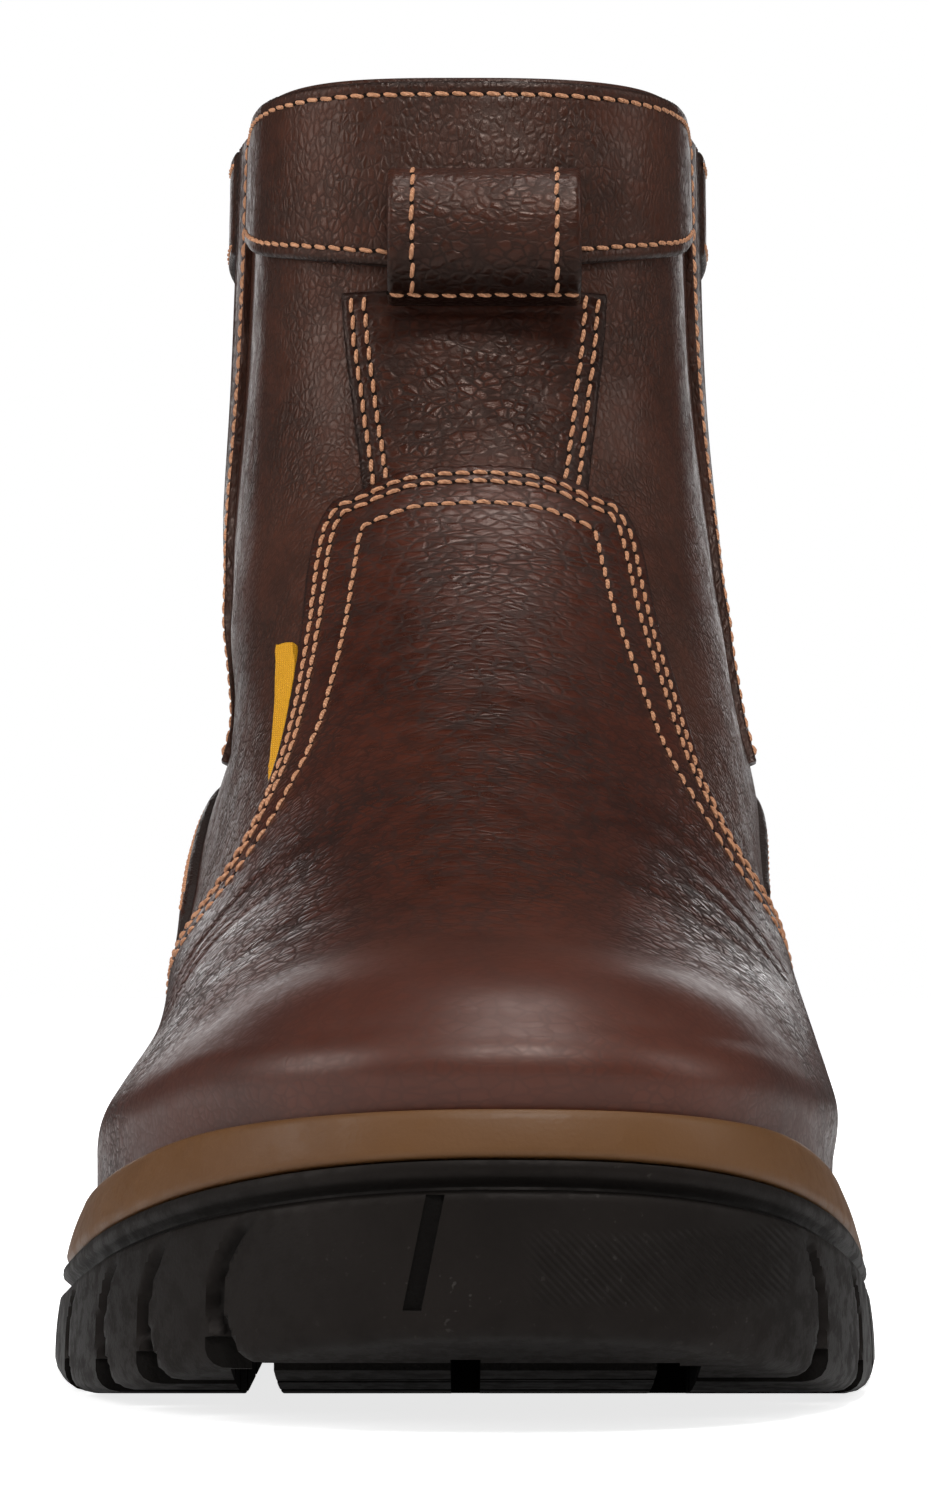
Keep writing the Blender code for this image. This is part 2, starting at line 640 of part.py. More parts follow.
def make_overlays(grids):
    vamp = edge_level(VAMP_EDGE, FRONT_TURN)
    counter = edge_level(COUNTER_EDGE)
    band = edge_level(BAND_EDGE)

    def constant(level):
        return lambda turn: level

    make_overlay("vamp", grids, turns_between(-VAMP_WING_TURN, VAMP_WING_TURN),
                 constant(0.0), vamp, OVERLAY, LEATHER_TOE, 0.35)
    first, second = COUNTER_FOOT_TURNS
    counter_turns = set(turns_between(COUNTER_START_TURN, 360.0 - COUNTER_START_TURN))
    counter_turns |= {first, second, 360.0 - second, 360.0 - first}

    def counter_foot(turn):
        return 0.0 if second <= turn <= 360.0 - second else vamp(turn) + COUNTER_EDGE_CLEAR

    make_overlay("counter", grids, sorted(counter_turns), counter_foot, counter, OVERLAY, LEATHER, 0.45)
    side_edge = STRIP_TURN - STRIP_HALF_TURN - STRIP_EDGE_CLEAR_TURN
    back_edge = STRIP_TURN + STRIP_HALF_TURN + STRIP_BACK_CLEAR_TURN
    make_overlay("collar_band_front", grids, turns_between(-side_edge, side_edge),
                 band, constant(1.0), OVERLAY, LEATHER, 0.5)
    make_overlay("collar_band_back", grids, turns_between(back_edge, 360.0 - back_edge),
                 band, constant(1.0), OVERLAY, LEATHER, 0.5)
    strips = (("medial", STRIP_TURN, STRIP_LEAN_TURN), ("lateral", 360.0 - STRIP_TURN, -STRIP_LEAN_TURN))
    for side, middle, lean in strips:
        turns = turns_between(middle - STRIP_HALF_TURN, middle + STRIP_HALF_TURN)
        make_overlay("side_strip_" + side, grids, turns,
                     constant(STRIP_FOOT_LEVEL), constant(1.0), OVERLAY, LEATHER, 0.4, lean)
    patch_turns = turns_between(FRONT_TURN - PATCH_HALF_TURN, FRONT_TURN + PATCH_HALF_TURN)
    make_overlay("pull_patch", grids, patch_turns, lambda turn: vamp(turn) + PATCH_EDGE_CLEAR,
                 constant(PATCH_TOP_LEVEL), OVERLAY, LEATHER, 0.5)

    def tab_top(turn):
        return TAB_TOP_LEVEL - TAB_DROP * max(0.0, abs(turn) - TAB_CORNER_TURN)

    tab_turns = list(np.linspace(-TAB_TURNS[0], -TAB_TURNS[1], 4))
    make_overlay("side_tab", grids, tab_turns, lambda turn: vamp(turn) + TAB_EDGE_CLEAR,
                 tab_top, TAB_THICKNESS, TAB_YELLOW, 0.5)


def make_insole():
    """Footbed plate inside the upper's lower rim."""
    stations = end_stations(INSOLE_STATIONS)
    points = []
    for lift in (GAP, GAP + INSOLE_THICKNESS):
        for station, side in both_sides(stations):
            x, y = sole_point(station, side, feather_inset(station) + WALL + INSOLE_CLEAR)
            points.append((x, y, footbed_z(y) + lift))
    make_piece("insole", points, plate_faces(len(stations), 2), (0.10, 0.07, 0.05), 0.8)


def strap_outline(reach_low, reach_high, z_low, z_high):
    """D-shaped profile: a straight back against the shaft and a bulging front, as (reach, z) points."""
    step = (z_high - z_low) / STRAP_BACK_FACETS
    back = [(reach_low, z_low + step * k) for k in range(STRAP_BACK_FACETS + 1)]
    front = []
    for k in range(1, STRAP_FRONT_FACETS):
        angle = pi / 2 - pi * k / STRAP_FRONT_FACETS
        out = abs(cos(angle)) ** STRAP_BULGE
        rise = abs(sin(angle)) ** STRAP_SHOULDER * (1.0 if angle > 0.0 else -1.0)
        reach = reach_low + (reach_high - reach_low) * out
        front.append((reach, (z_low + z_high) / 2 + (z_high - z_low) / 2 * rise))
    return back + front


def make_pull_loop():
    """Strap loop sewn to the front of the shaft, open from side to side."""
    seat_y = section_point(section_at(LOOP_SEAT_LEVEL), 0.0)[1] - OVERLAY - 2.0 * GAP
    outline = strap_outline(0.0, LOOP_REACH, LOOP_BOTTOM_Z, LOOP_TOP_Z)
    hole = strap_outline(STRAP, LOOP_REACH - STRAP, LOOP_BOTTOM_Z + 2.0 * STRAP, LOOP_TOP_Z - STRAP)
    count = len(outline)
    points = []
    for x in (LOOP_X - LOOP_WIDTH / 2, LOOP_X + LOOP_WIDTH / 2):
        for reach, z in outline + hole:
            points.append((x, seat_y - reach, z))
    faces = []
    for k in range(count):
        after = (k + 1) % count
        far = 2 * count
        faces += split(k, after, after + far, k + far)
        faces += split(count + k, count + after, count + after + far, count + k + far)
        for base in (0, far):
            faces += split(base + k, base + after, base + count + after, base + count + k)
    make_piece("pull_loop", points, faces, LEATHER, 0.45)


def main():
    clear_scene()
    make_outsole()
    make_midsole()
    make_insole()
    grids = upper_grid()
    make_upper(*grids)
    make_overlays(grids)
    make_pull_loop()


main()
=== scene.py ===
import json
from math import cos, pi, radians, sin

import bmesh
import bpy
import numpy as np
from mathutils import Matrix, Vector

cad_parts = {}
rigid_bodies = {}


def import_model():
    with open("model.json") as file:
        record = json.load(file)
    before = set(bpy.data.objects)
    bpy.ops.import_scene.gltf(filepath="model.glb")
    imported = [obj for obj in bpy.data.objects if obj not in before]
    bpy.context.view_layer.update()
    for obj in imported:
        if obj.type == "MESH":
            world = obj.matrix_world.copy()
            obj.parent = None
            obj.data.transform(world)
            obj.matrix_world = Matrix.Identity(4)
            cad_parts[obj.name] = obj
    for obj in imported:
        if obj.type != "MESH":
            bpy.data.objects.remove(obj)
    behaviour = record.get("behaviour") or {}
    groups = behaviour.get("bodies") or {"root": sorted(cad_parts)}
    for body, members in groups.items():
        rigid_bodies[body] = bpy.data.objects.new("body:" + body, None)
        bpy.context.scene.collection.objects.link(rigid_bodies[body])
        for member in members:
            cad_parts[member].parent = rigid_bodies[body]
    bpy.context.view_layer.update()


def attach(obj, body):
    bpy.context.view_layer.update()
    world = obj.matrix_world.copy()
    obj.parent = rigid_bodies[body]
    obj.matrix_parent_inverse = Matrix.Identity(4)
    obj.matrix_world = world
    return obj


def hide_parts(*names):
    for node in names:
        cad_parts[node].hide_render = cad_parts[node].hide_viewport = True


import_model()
rng = np.random.default_rng(7)

mm = 0.001
gap = 0.3             # panels stand this far off the upper in the frame
leatherThick = 1.3
sharpAngle = 50.0     # edges that bend more than this stay sharp, in degrees

# The sole's outline and heights along the boot, in millimetres: toe at -y, inner side at +x
soleShape = {
    "toeY": -152.5, "heelY": 152.5, "toeSwing": 4.0, "swingStart": -60.0,
    "toeCap": 100.0, "toeRoundOuter": 2.2, "toeRoundInner": 2.5, "heelCap": 46.0, "heelRound": 2.2,
    # y, outer half, inner half, rubber top, leather line, footbed
    "rows": (
        (-152.5, 57.2, 56.2, 35.0, 41.3, 27.5),
        (-127.0, 57.8, 56.3, 28.5, 36.6, 25.8),
        (-110.0, 58.2, 56.8, 24.0, 32.6, 24.0),
        (-85.0, 58.4, 57.4, 18.0, 27.5, 22.0),
        (-55.0, 58.6, 58.4, 14.6, 23.2, 20.6),
        (-20.0, 54.5, 53.0, 14.5, 22.6, 20.6),
        (20.0, 47.0, 43.0, 16.0, 24.0, 22.4),
        (60.0, 44.0, 42.0, 20.5, 27.5, 26.0),
        (100.0, 43.5, 43.5, 24.0, 30.5, 29.0),
        (152.5, 42.0, 42.0, 26.5, 32.5, 31.0),
    ),
    "springStart": -85.0, "springHeight": 12.0, "springPower": 1.8,
    "archStart": -12.0, "archRun": 30.0, "archHeight": 9.0, "breastY": 58.0, "breastRun": 2.0,
    "bevelY": 138.0, "bevelRise": 2.0,
    "midsoleFloor": 4.5, "recess": 0.4, "seatInset": 3.2,
    "bandInsetToe": 3.6, "bandInset": 4.8, "bandBlend": 60.0, "bandLip": 0.9, "featherGaps": 2.5,
}

# Sections of the upper from the leather line (level 0) to the collar (level 1)
upperShape = {
    # level, frontY, frontZ, backY, backZ, ball outer/inner, waist outer/inner, heel outer/inner,
    # frontCap, frontRound, backCap, backRound
    "rows": (
        (0.0, -147.0, 41.0, 143.0, 32.4, 52.3, 53.0, 42.0, 38.5, 36.5, 36.0, 0.32, 2.40, 0.17, 2.2),
        (0.1, -144.0, 49.0, 145.0, 42.0, 49.2, 50.9, 41.8, 38.8, 36.8, 36.4, 0.33, 2.30, 0.18, 2.2),
        (0.2, -134.5, 56.8, 145.5, 52.0, 43.8, 49.0, 43.6, 41.0, 38.3, 37.8, 0.36, 2.20, 0.19, 2.2),
        (0.3, -111.0, 63.5, 145.0, 62.0, 43.2, 48.0, 45.0, 43.8, 38.8, 38.4, 0.40, 2.05, 0.21, 2.2),
        (0.4, -87.0, 71.5, 143.5, 72.0, 40.8, 47.0, 45.4, 46.8, 38.4, 38.6, 0.42, 2.00, 0.23, 2.2),
        (0.5, -63.0, 82.5, 141.5, 84.0, 39.0, 46.0, 42.8, 48.6, 37.0, 39.0, 0.40, 2.00, 0.26, 2.2),
        (0.6, -37.0, 97.5, 139.3, 98.0, 38.4, 45.0, 38.9, 46.8, 35.8, 38.8, 0.38, 2.10, 0.30, 2.3),
        (0.7, -13.0, 116.0, 138.5, 115.0, 39.3, 42.6, 41.0, 45.4, 36.0, 38.2, 0.37, 2.30, 0.34, 2.3),
        (0.8, 6.5, 137.0, 138.7, 136.0, 38.2, 40.0, 41.4, 42.9, 36.5, 37.4, 0.36, 2.55, 0.38, 2.4),
        (0.9, 14.7, 162.0, 140.3, 161.0, 36.6, 37.8, 40.9, 41.5, 37.5, 37.5, 0.32, 2.70, 0.42, 2.5),
        (1.0, 16.0, 201.0, 142.0, 201.0, 35.3, 36.6, 40.3, 41.2, 38.0, 38.2, 0.31, 2.75, 0.44, 2.6),
    ),
    "stations": (0.0, 0.33, 0.60, 0.84, 1.0), "endShare": 0.97, "weltFade": 0.5, "weltPower": 1.5,
    "featherLevel": 0.04, "featherBlend": 0.08, "footbedLevel": 0.05,
}


def ease(share):
    share = np.clip(share, 0.0, 1.0)
    return share * share * (3.0 - 2.0 * share)


def through(knots, values, at):
    # smooth curve through table values; values may hold one curve per sample point
    knots = np.asarray(knots, float)
    at = np.asarray(at, float)
    values = np.asarray(values, float)
    if values.ndim == 1:
        values = values.reshape(-1, *([1] * at.ndim)) * np.ones(at.shape)
    slopes = np.gradient(values, knots, axis=0)
    place = np.clip(np.searchsorted(knots, at) - 1, 0, len(knots) - 2)
    run = knots[place + 1] - knots[place]
    share = np.clip((at - knots[place]) / run, 0.0, 1.0)
    rise = ease(share)
    low, high = (np.take_along_axis(values, (place + k)[None], 0)[0] for k in (0, 1))
    leanLow, leanHigh = (np.take_along_axis(slopes, (place + k)[None], 0)[0] for k in (0, 1))
    lean = leanLow * share * (1.0 - share) ** 2 * run + leanHigh * share * share * (share - 1.0) * run
    return low * (1.0 - rise) + high * rise + lean


def soleColumn(index, y):
    rows = np.array(soleShape["rows"])
    return through(rows[:, 0], rows[:, index], y)


def rimZ(y):
    return soleColumn(3, y)


def weltZ(y):
    return soleColumn(4, y)


def footbedZ(y):
    return soleColumn(5, y)


def swing(y):
    ahead = np.maximum(0.0, soleShape["swingStart"] - y) / (soleShape["swingStart"] - soleShape["toeY"])
    return soleShape["toeSwing"] * ahead ** 2


def roundEnd(share, power):
    inward = np.clip(1.0 - share, 0.0, 1.0)
    return (1.0 - inward ** power) ** (1.0 / power)


def treadZ(y):
    s = soleShape
    spring = np.maximum(0.0, s["springStart"] - y) / (s["springStart"] - s["toeY"])
    beforeHeel = ease((s["breastY"] + s["breastRun"] - y) / s["breastRun"])
    arch = ease((y - s["archStart"]) / s["archRun"]) * beforeHeel
    bevel = np.maximum(0.0, y - s["bevelY"]) / (s["heelY"] - s["bevelY"])
    sprung = s["springHeight"] * spring ** s["springPower"]
    return sprung + s["archHeight"] * arch + s["bevelRise"] * bevel ** 2


def soleHalf(y, side):
    s = soleShape
    width = np.where(side > 0, soleColumn(2, y), soleColumn(1, y))
    toe = np.where(side > 0, roundEnd((y - s["toeY"]) / s["toeCap"], s["toeRoundInner"]),
                   roundEnd((y - s["toeY"]) / s["toeCap"], s["toeRoundOuter"]))
    return width * toe * roundEnd((s["heelY"] - y) / s["heelCap"], s["heelRound"])


def outlineSlope(y, side, step):
    near = np.clip(y, soleShape["toeY"] + step, soleShape["heelY"] - step)
    return (soleHalf(near + step, side) - soleHalf(near - step, side)) / (2.0 * step)


def solePoint(y, side, inset):
    # outline point at station y, moved inward along the outline's own normal
    slope = outlineSlope(y, side, 0.02)
    length = np.sqrt(1.0 + slope * slope)
    back = y + inset * slope / length
    return side * np.maximum(0.0, soleHalf(y, side) - inset / length) + swing(back), back


def bandInset(y):
    s = soleShape
    return s["bandInsetToe"] + (s["bandInset"] - s["bandInsetToe"]) * ease((y - s["toeY"]) / s["bandBlend"])


def featherInset(y):
    return bandInset(y) + soleShape["bandLip"] + leatherThick + soleShape["featherGaps"] * gap


def upperSurface(level, turn):
    # outer face of the upper in millimetres; turn in degrees from the front centre, inner side positive
    level, turn = np.broadcast_arrays(np.asarray(level, float), np.radians(np.asarray(turn, float)))
    u = upperShape
    table = np.array(u["rows"])
    cols = [through(table[:, 0], table[:, k], level) for k in range(1, table.shape[1])]
    frontY, frontZ, backY, backZ = cols[:4]
    share = (1.0 - np.cos(turn)) / 2.0
    side = np.where(np.sin(turn) >= 0.0, 1.0, -1.0)
    y = frontY + share * (backY - frontY)
    ball, waist, heel = (np.where(side > 0, cols[k + 1], cols[k]) for k in (4, 6, 8))
    ends = np.stack((ball * u["endShare"], ball, waist, heel, heel * u["endShare"]))
    width = through(u["stations"], ends, share)
    half = width * roundEnd(share / cols[10], cols[11]) * roundEnd((1.0 - share) / cols[12], cols[13])
    first = table[0]
    weltLine = first[2] + share * (first[4] - first[2])
    fade = np.maximum(0.0, 1.0 - level / u["weltFade"]) ** u["weltPower"]
    z = frontZ + share * (backZ - frontZ) + (weltZ(y) - weltLine) * fade
    x = side * half + swing(y)
    station = soleShape["toeY"] + share * (soleShape["heelY"] - soleShape["toeY"])
    footX, footY = solePoint(station, side, featherInset(station))
    grown = ease((level - u["featherLevel"]) / u["featherBlend"])
    x = footX + grown * (x - footX)
    y = footY + grown * (y - footY)
    lift = np.minimum(level / u["footbedLevel"], 1.0)
    footZ = footbedZ(y) + gap
    return np.stack((x, y, footZ + lift * (z - footZ)), axis=-1)


# Creases placed one by one on the vamp: a soft trough (or ridge, negative depth) across the foot
vampCreases = {
    # y at the centre line, x centre, half span, bow at the span's end, half width, depth
    "rows": (
        (-112.0, 2.0, 46.0, 13.0, 8.0, 0.65),    # dip behind the toe box
        (-92.0, -8.0, 30.0, 9.0, 2.6, 0.24),
        (-80.0, 12.0, 30.0, 9.0, 2.2, 0.26),
        (-68.0, -2.0, 34.0, 10.0, 2.4, 0.28),
        (-57.0, 10.0, 30.0, 8.0, 2.0, 0.24),
        (-47.0, -8.0, 28.0, 7.0, 2.2, 0.24),
        (-36.0, 4.0, 26.0, 6.0, 2.2, 0.22),
        (-66.0, -36.0, 12.0, -5.0, 1.6, 0.30),   # small cluster at the outer flex point
        (-61.0, -38.0, 11.0, -5.0, 1.4, 0.28),
        (-56.0, -36.0, 10.0, -4.0, 1.4, 0.24),
        (-62.0, 40.0, 11.0, -5.0, 1.6, 0.28),
        (-55.0, 41.0, 10.0, -4.0, 1.4, 0.24),
    ),
    # the toe box's fullest place: x, z, spread across and up, height
    "toeBulge": (12.0, 51.0, 22.0, 14.0, 0.9),
    # its front face rounded over: z, spread up, height
    "toeFront": (45.0, 3.4, 0.60),
    # where these start and end: y, z and y, each with the run of its fade
    "toeBack": (-100.0, 25.0), "aboveWelt": (42.0, 8.0), "instepEnd": (18.0, 25.0),
}
# Soft folds of the shaft: which face, height, centre along the face, half span, slant, half width, depth
shaftCreases = {
    "rows": (
        ("side", 108.0, 48.0, 34.0, 0.28, 6.0, 0.9),
        ("side", 97.0, 40.0, 30.0, 0.34, 5.0, 0.7),
        ("side", 122.0, 60.0, 30.0, 0.20, 6.5, 0.55),
        ("back", 112.0, 0.0, 30.0, 0.05, 5.5, 0.9),
        ("back", 125.0, 3.0, 28.0, -0.06, 5.0, 0.6),
        ("front", 150.0, -2.0, 30.0, 0.03, 4.0, 0.35),
        ("front", 184.0, 4.0, 24.0, 0.02, 6.0, -0.8),    # the collar bulges over the pull loop
        ("front", 199.0, 5.0, 22.0, -0.03, 6.5, 0.8),
    ),
    # where each face starts, with the run of its fade: x outward, y back, y forward and z up
    "sideStart": (22.0, 12.0), "backStart": (112.0, 16.0),
    "frontStart": (40.0, 16.0), "frontFoot": (130.0, 8.0),
}


def fadeIn(value, edge):
    start, run = edge
    return ease((value - start) / run)


def fadeOut(value, edge):
    end, run = edge
    return ease((end - value) / run)


def creaseRelief(points):
    # height change in millimetres for points on the upper's surface
    x, y, z = points[..., 0], points[..., 1], points[..., 2]
    relief = np.zeros(x.shape)
    for y0, x0, span, bow, width, depth in vampCreases["rows"]:
        across = (x - x0) / span
        offset = (y - y0 - bow * across ** 2) / width
        relief -= depth * np.exp(-offset ** 2) * np.exp(-across ** 4)
    bulgeX, bulgeZ, across, up, height = vampCreases["toeBulge"]
    atToe = fadeOut(y, vampCreases["toeBack"])
    relief += height * np.exp(-((x - bulgeX) / across) ** 2 - ((z - bulgeZ) / up) ** 2) * atToe
    relief *= fadeIn(z, vampCreases["aboveWelt"]) * fadeOut(y, vampCreases["instepEnd"])
    frontZ, up, height = vampCreases["toeFront"]
    relief += height * np.exp(-((z - frontZ) / up) ** 2) * atToe
    facing = {
        "side": fadeIn(np.abs(x), shaftCreases["sideStart"]), "back": fadeIn(y, shaftCreases["backStart"]),
        "front": fadeOut(y, shaftCreases["frontStart"]) * fadeIn(z, shaftCreases["frontFoot"]),
    }
    for face, z0, mid, span, slant, width, depth in shaftCreases["rows"]:
        along = y if face == "side" else x
        offset = (z - z0 - slant * (along - mid)) / width
        relief -= depth * np.exp(-offset ** 2) * np.exp(-((along - mid) / span) ** 4) * facing[face]
    return relief


def unit(vectors):
    return vectors / np.linalg.norm(vectors, axis=-1, keepdims=True)


def creasedSurface(level, turn):
    # surface points and unit normals with the creases worked in
    step = 0.003
    turnStep = 0.4
    centre = upperSurface(level, turn)
    above = upperSurface(np.minimum(level + step, 1.0), turn)
    rise = above - upperSurface(np.maximum(level - step, 0.0), turn)
    along = upperSurface(level, turn + turnStep) - upperSurface(level, turn - turnStep)
    normal = unit(np.cross(along, rise))
    return centre + normal * creaseRelief(centre)[..., None], normal


# Mesh helpers

def gridFaces(rows, cols, start=0, wrap=False, flip=False):
    r, c = np.meshgrid(np.arange(rows - 1), np.arange(cols if wrap else cols - 1), indexing="ij")
    right = (c + 1) % cols
    quads = np.stack((r * cols + c, r * cols + right, (r + 1) * cols + right, (r + 1) * cols + c), -1)
    quads = quads.reshape(-1, 4) + start
    return quads[:, ::-1] if flip else quads


def makePiece(name, points, faces, materials, faceSlots=None, replaced=None, shade=None):
    # points in millimetres, faces in blocks of corner lists; shade darkens dyed edges and paints shade into
    # grooves, channels and under the loop
    mesh = bpy.data.meshes.new(name)
    faceList = [tuple(int(i) for i in face) for block in faces for face in block]
    mesh.from_pydata((np.asarray(points, float).reshape(-1, 3) * mm).tolist(), [], faceList)
    for material in materials:
        mesh.materials.append(material)
    if faceSlots is not None:
        mesh.polygons.foreach_set("material_index", np.asarray(faceSlots, dtype=np.int32))
    if shade is not None:
        layer = mesh.attributes.new("edgeDyeAndPaintedShade", "FLOAT", "POINT")
        layer.data.foreach_set("value", np.ascontiguousarray(shade, dtype=np.float32).ravel())
    mesh.shade_smooth()
    mesh.set_sharp_from_angle(angle=radians(sharpAngle))
    mesh.validate()
    piece = bpy.data.objects.new(name, mesh)
    bpy.context.scene.collection.objects.link(piece)
    dress(piece, replaced)
    return piece


def dress(piece, replaced):
    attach(piece, "root")
    if replaced:
        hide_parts(replaced)


def distanceTo(points, line):
    # shortest distance from each grid point to a polyline's points, in blocks to save memory
    flat = points.reshape(-1, 3)
    blocks = np.array_split(flat, max(1, len(flat) // 4000))
    nearest = [np.sqrt(((block[:, None] - line[None]) ** 2).sum(-1).min(1)) for block in blocks]
    return np.concatenate(nearest).reshape(points.shape[:-1])


def lengthAlong(line):
    steps = np.linalg.norm(np.diff(line, axis=0), axis=1)
    return np.concatenate(([0.0], np.cumsum(steps)))


def pointsAt(where, length, values):
    return np.stack([np.interp(where, length, values[:, k]) for k in range(3)], -1)


def densify(line, spacing=0.35):
    length = lengthAlong(line)
    return pointsAt(np.linspace(0.0, length[-1], max(2, int(length[-1] / spacing))), length, line)


# What every panel starts from: its cut edge is rolled over and darkened, partly edge dye and partly painted
# shade, its sewn channels sink in and get painted shade
panelLook = {
    "lean": 0.0, "thick": gap + leatherThick, "roll": 0.8, "underside": 0.04, "crowding": 0.6, "channels": (),
    "channelDepth": 0.22, "channelHalf": 0.55, "channelShade": 0.35, "shadeHalf": 0.8,
    "edgeDark": 0.9, "edgeWidth": 0.75, "pinch": np.ones_like,
}


def makePanel(name, spec, materials, replaced):
    # leather panel over the upper with a rounded cut edge, sewn channels and a dark raw side
    look = dict(panelLook, **spec)
    turns = np.linspace(*look["turns"], look["columns"])
    even = np.linspace(0.0, 1.0, look["rows"])
    share = (0.5 - 0.5 * np.cos(pi * even)) * look["crowding"] + even * (1.0 - look["crowding"])
    low = look["low"](turns)
    level = low[None] + (look["high"](turns) - low)[None] * share[:, None]
    lean = look["lean"] * (1.0 - level) / (1.0 - low[None])
    middle = (turns[0] + turns[-1]) / 2
    pinch = look["pinch"](share)
    base, normal = creasedSurface(level, middle + (turns - middle)[None] * pinch[:, None] + lean)
    edges = {"top": base[-1], "foot": base[0], "start": base[:, 0], "end": base[:, -1]}
    distance = {key: distanceTo(base, densify(edges[key])) for key in look["cut"]}
    nearest = np.minimum.reduce(list(distance.values()))
    inward = np.clip(1.0 - nearest / look["roll"], 0.0, 1.0)
    height = look["thick"] - look["roll"] * (1.0 - np.sqrt(1.0 - inward ** 2))
    # painted shade: darker along the cut edge, partly edge dye, and in the sewn channels; the raw side takes
    # the edge's darkness
    dark = look["edgeDark"] * np.exp(-(nearest / look["edgeWidth"]) ** 2)
    for offset in look["channels"]:
        height -= look["channelDepth"] * np.exp(-((nearest - offset) / look["channelHalf"]) ** 2)
        dark += look["channelShade"] * np.exp(-((nearest - offset) / look["shadeHalf"]) ** 2)
    dark = np.concatenate((dark.ravel(), np.full(dark.size, look["edgeDark"])))
    top = base + normal * height[..., None]
    bottom = base + normal * look["underside"]
    rows, cols = level.shape
    count = rows * cols
    ids = np.arange(count).reshape(rows, cols)
    loop = np.concatenate((ids[0], ids[1:, -1], ids[-1, -2::-1], ids[-2:0:-1, 0]))    # once round the edge
    after = np.roll(loop, -1)
    faces = [gridFaces(rows, cols), gridFaces(rows, cols, count, flip=True),
             np.stack((loop + count, after + count, after, loop), -1)]
    slots = np.repeat((0, 0, 1), [len(block) for block in faces])
    points = np.concatenate((top.reshape(-1, 3), bottom.reshape(-1, 3)))
    makePiece(name, points, faces, materials, slots, replaced, dark)
    return {"top": top, "normal": normal, "distance": distance, "channels": look["channels"]}


def rowInside(panel, edge, offset, trim=0.0):
    # sewing line at a set distance from one edge of a panel: points and normals
    top, normal, distance = panel["top"], panel["normal"], panel["distance"][edge]
    if edge in ("start", "end"):
        top, normal, distance = top.swapaxes(0, 1), normal.swapaxes(0, 1), distance.T
    if edge in ("top", "end"):
        top, normal, distance = top[::-1], normal[::-1], distance[::-1]
    points, normals = [], []
    for column in range(top.shape[1]):
        run = distance[:, column]
        far = np.nonzero(run >= offset)[0]
        if len(far) == 0 or far[0] == 0:
            continue
        k = far[0]
        share = (offset - run[k - 1]) / max(run[k] - run[k - 1], 1e-6)
        points.append(top[k - 1, column] * (1 - share) + top[k, column] * share)
        normals.append(normal[k, column])
    points, normals = np.array(points), np.array(normals)
    length = lengthAlong(points)
    keep = (length >= trim) & (length <= length[-1] - trim)
    return points[keep], normals[keep]


# Stitches: one arched thread capsule each, with a needle hole between two stitches, a near-black cap as its
# painted shade
stitchLook = {
    "length": 2.25, "space": 0.52, "radius": 0.36, "slant": 0.14, "lift": 0.20, "wander": 0.05, "sides": 6,
    # the capsule's rings: place along the stitch, rise and girth
    "rings": (
        (0.0, -0.20, 0.45), (0.16, 0.55, 0.92), (0.5, 1.0, 1.0), (0.84, 0.55, 0.92), (1.0, -0.20, 0.45),
    ),
    "holeRadius": 0.44, "holeLift": 0.05, "holeDepth": 0.3, "holeTaper": 0.6,
}


def tubeFaces(first, rings, sides):
    # closed tube of rings: its wall and both ends
    faces = [tuple(face) for face in gridFaces(rings, sides, first, wrap=True)]
    last = first + (rings - 1) * sides
    return faces + [tuple(range(first + sides - 1, first - 1, -1)), tuple(range(last, last + sides))]


def sewRows(name, rows, threadMaterial, holeShadeMaterial):
    look = stitchLook
    sides = look["sides"]
    angles = 2.0 * pi * np.arange(sides) / sides
    points, faces, slots = [], [], []
    total = 0

    def addTube(rings, slot):
        tube = tubeFaces(len(points) * sides, len(rings), sides)
        points.extend(rings)
        faces.extend(tube)
        slots.extend([slot] * len(tube))

    for path, normals in rows:
        length = lengthAlong(path)
        count = int(length[-1] / (look["length"] + look["space"]))
        if count < 1:
            continue
        pitch = length[-1] / count
        run = pitch - look["space"]
        for k in range(count):
            startAt = k * pitch + look["space"] / 2
            wobble = rng.normal(0.0, look["wander"])
            ahead = unit(pointsAt(startAt + run, length, path) - pointsAt(startAt, length, path))
            up = unit(pointsAt(startAt + run / 2, length, normals))
            aside = np.cross(ahead, up)
            across = np.outer(np.cos(angles), aside)
            rings = []
            for share, rise, girth in look["rings"]:
                centre = pointsAt(startAt + run * share, length, path) + up * look["lift"] * rise
                centre = centre + aside * (look["slant"] * (share - 0.5) * 2.0 + wobble)
                rings.append(centre + (across + np.outer(np.sin(angles), up)) * look["radius"] * girth)
            addTube(rings, 0)
            hole = pointsAt(k * pitch, length, path) + up * look["holeLift"]
            rim = (across + np.outer(np.sin(angles), ahead)) * look["holeRadius"]
            addTube([hole + rim, hole - up * look["holeDepth"] + rim * look["holeTaper"]], 1)
            total += 1
    piece = makePiece(name, np.concatenate(points), [faces], [threadMaterial, holeShadeMaterial], slots)
    turnOutward(piece)
    print(name, total, "stitches")


def turnOutward(piece):
    work = bmesh.new()
    work.from_mesh(piece.data)
    bmesh.ops.recalc_face_normals(work, faces=work.faces)
    work.to_mesh(piece.data)
    work.free()


# Shader groups shared by several materials

def startGroup(name, inputs, outputs):
    tree = bpy.data.node_groups.new(name, "ShaderNodeTree")
    for label, kind, value in inputs:
        socket = tree.interface.new_socket(label, in_out="INPUT", socket_type="NodeSocket" + kind)
        socket.default_value = value
    for label, kind in outputs:
        tree.interface.new_socket(label, in_out="OUTPUT", socket_type="NodeSocket" + kind)
    return tree, tree.nodes.new("NodeGroupInput"), tree.nodes.new("NodeGroupOutput")


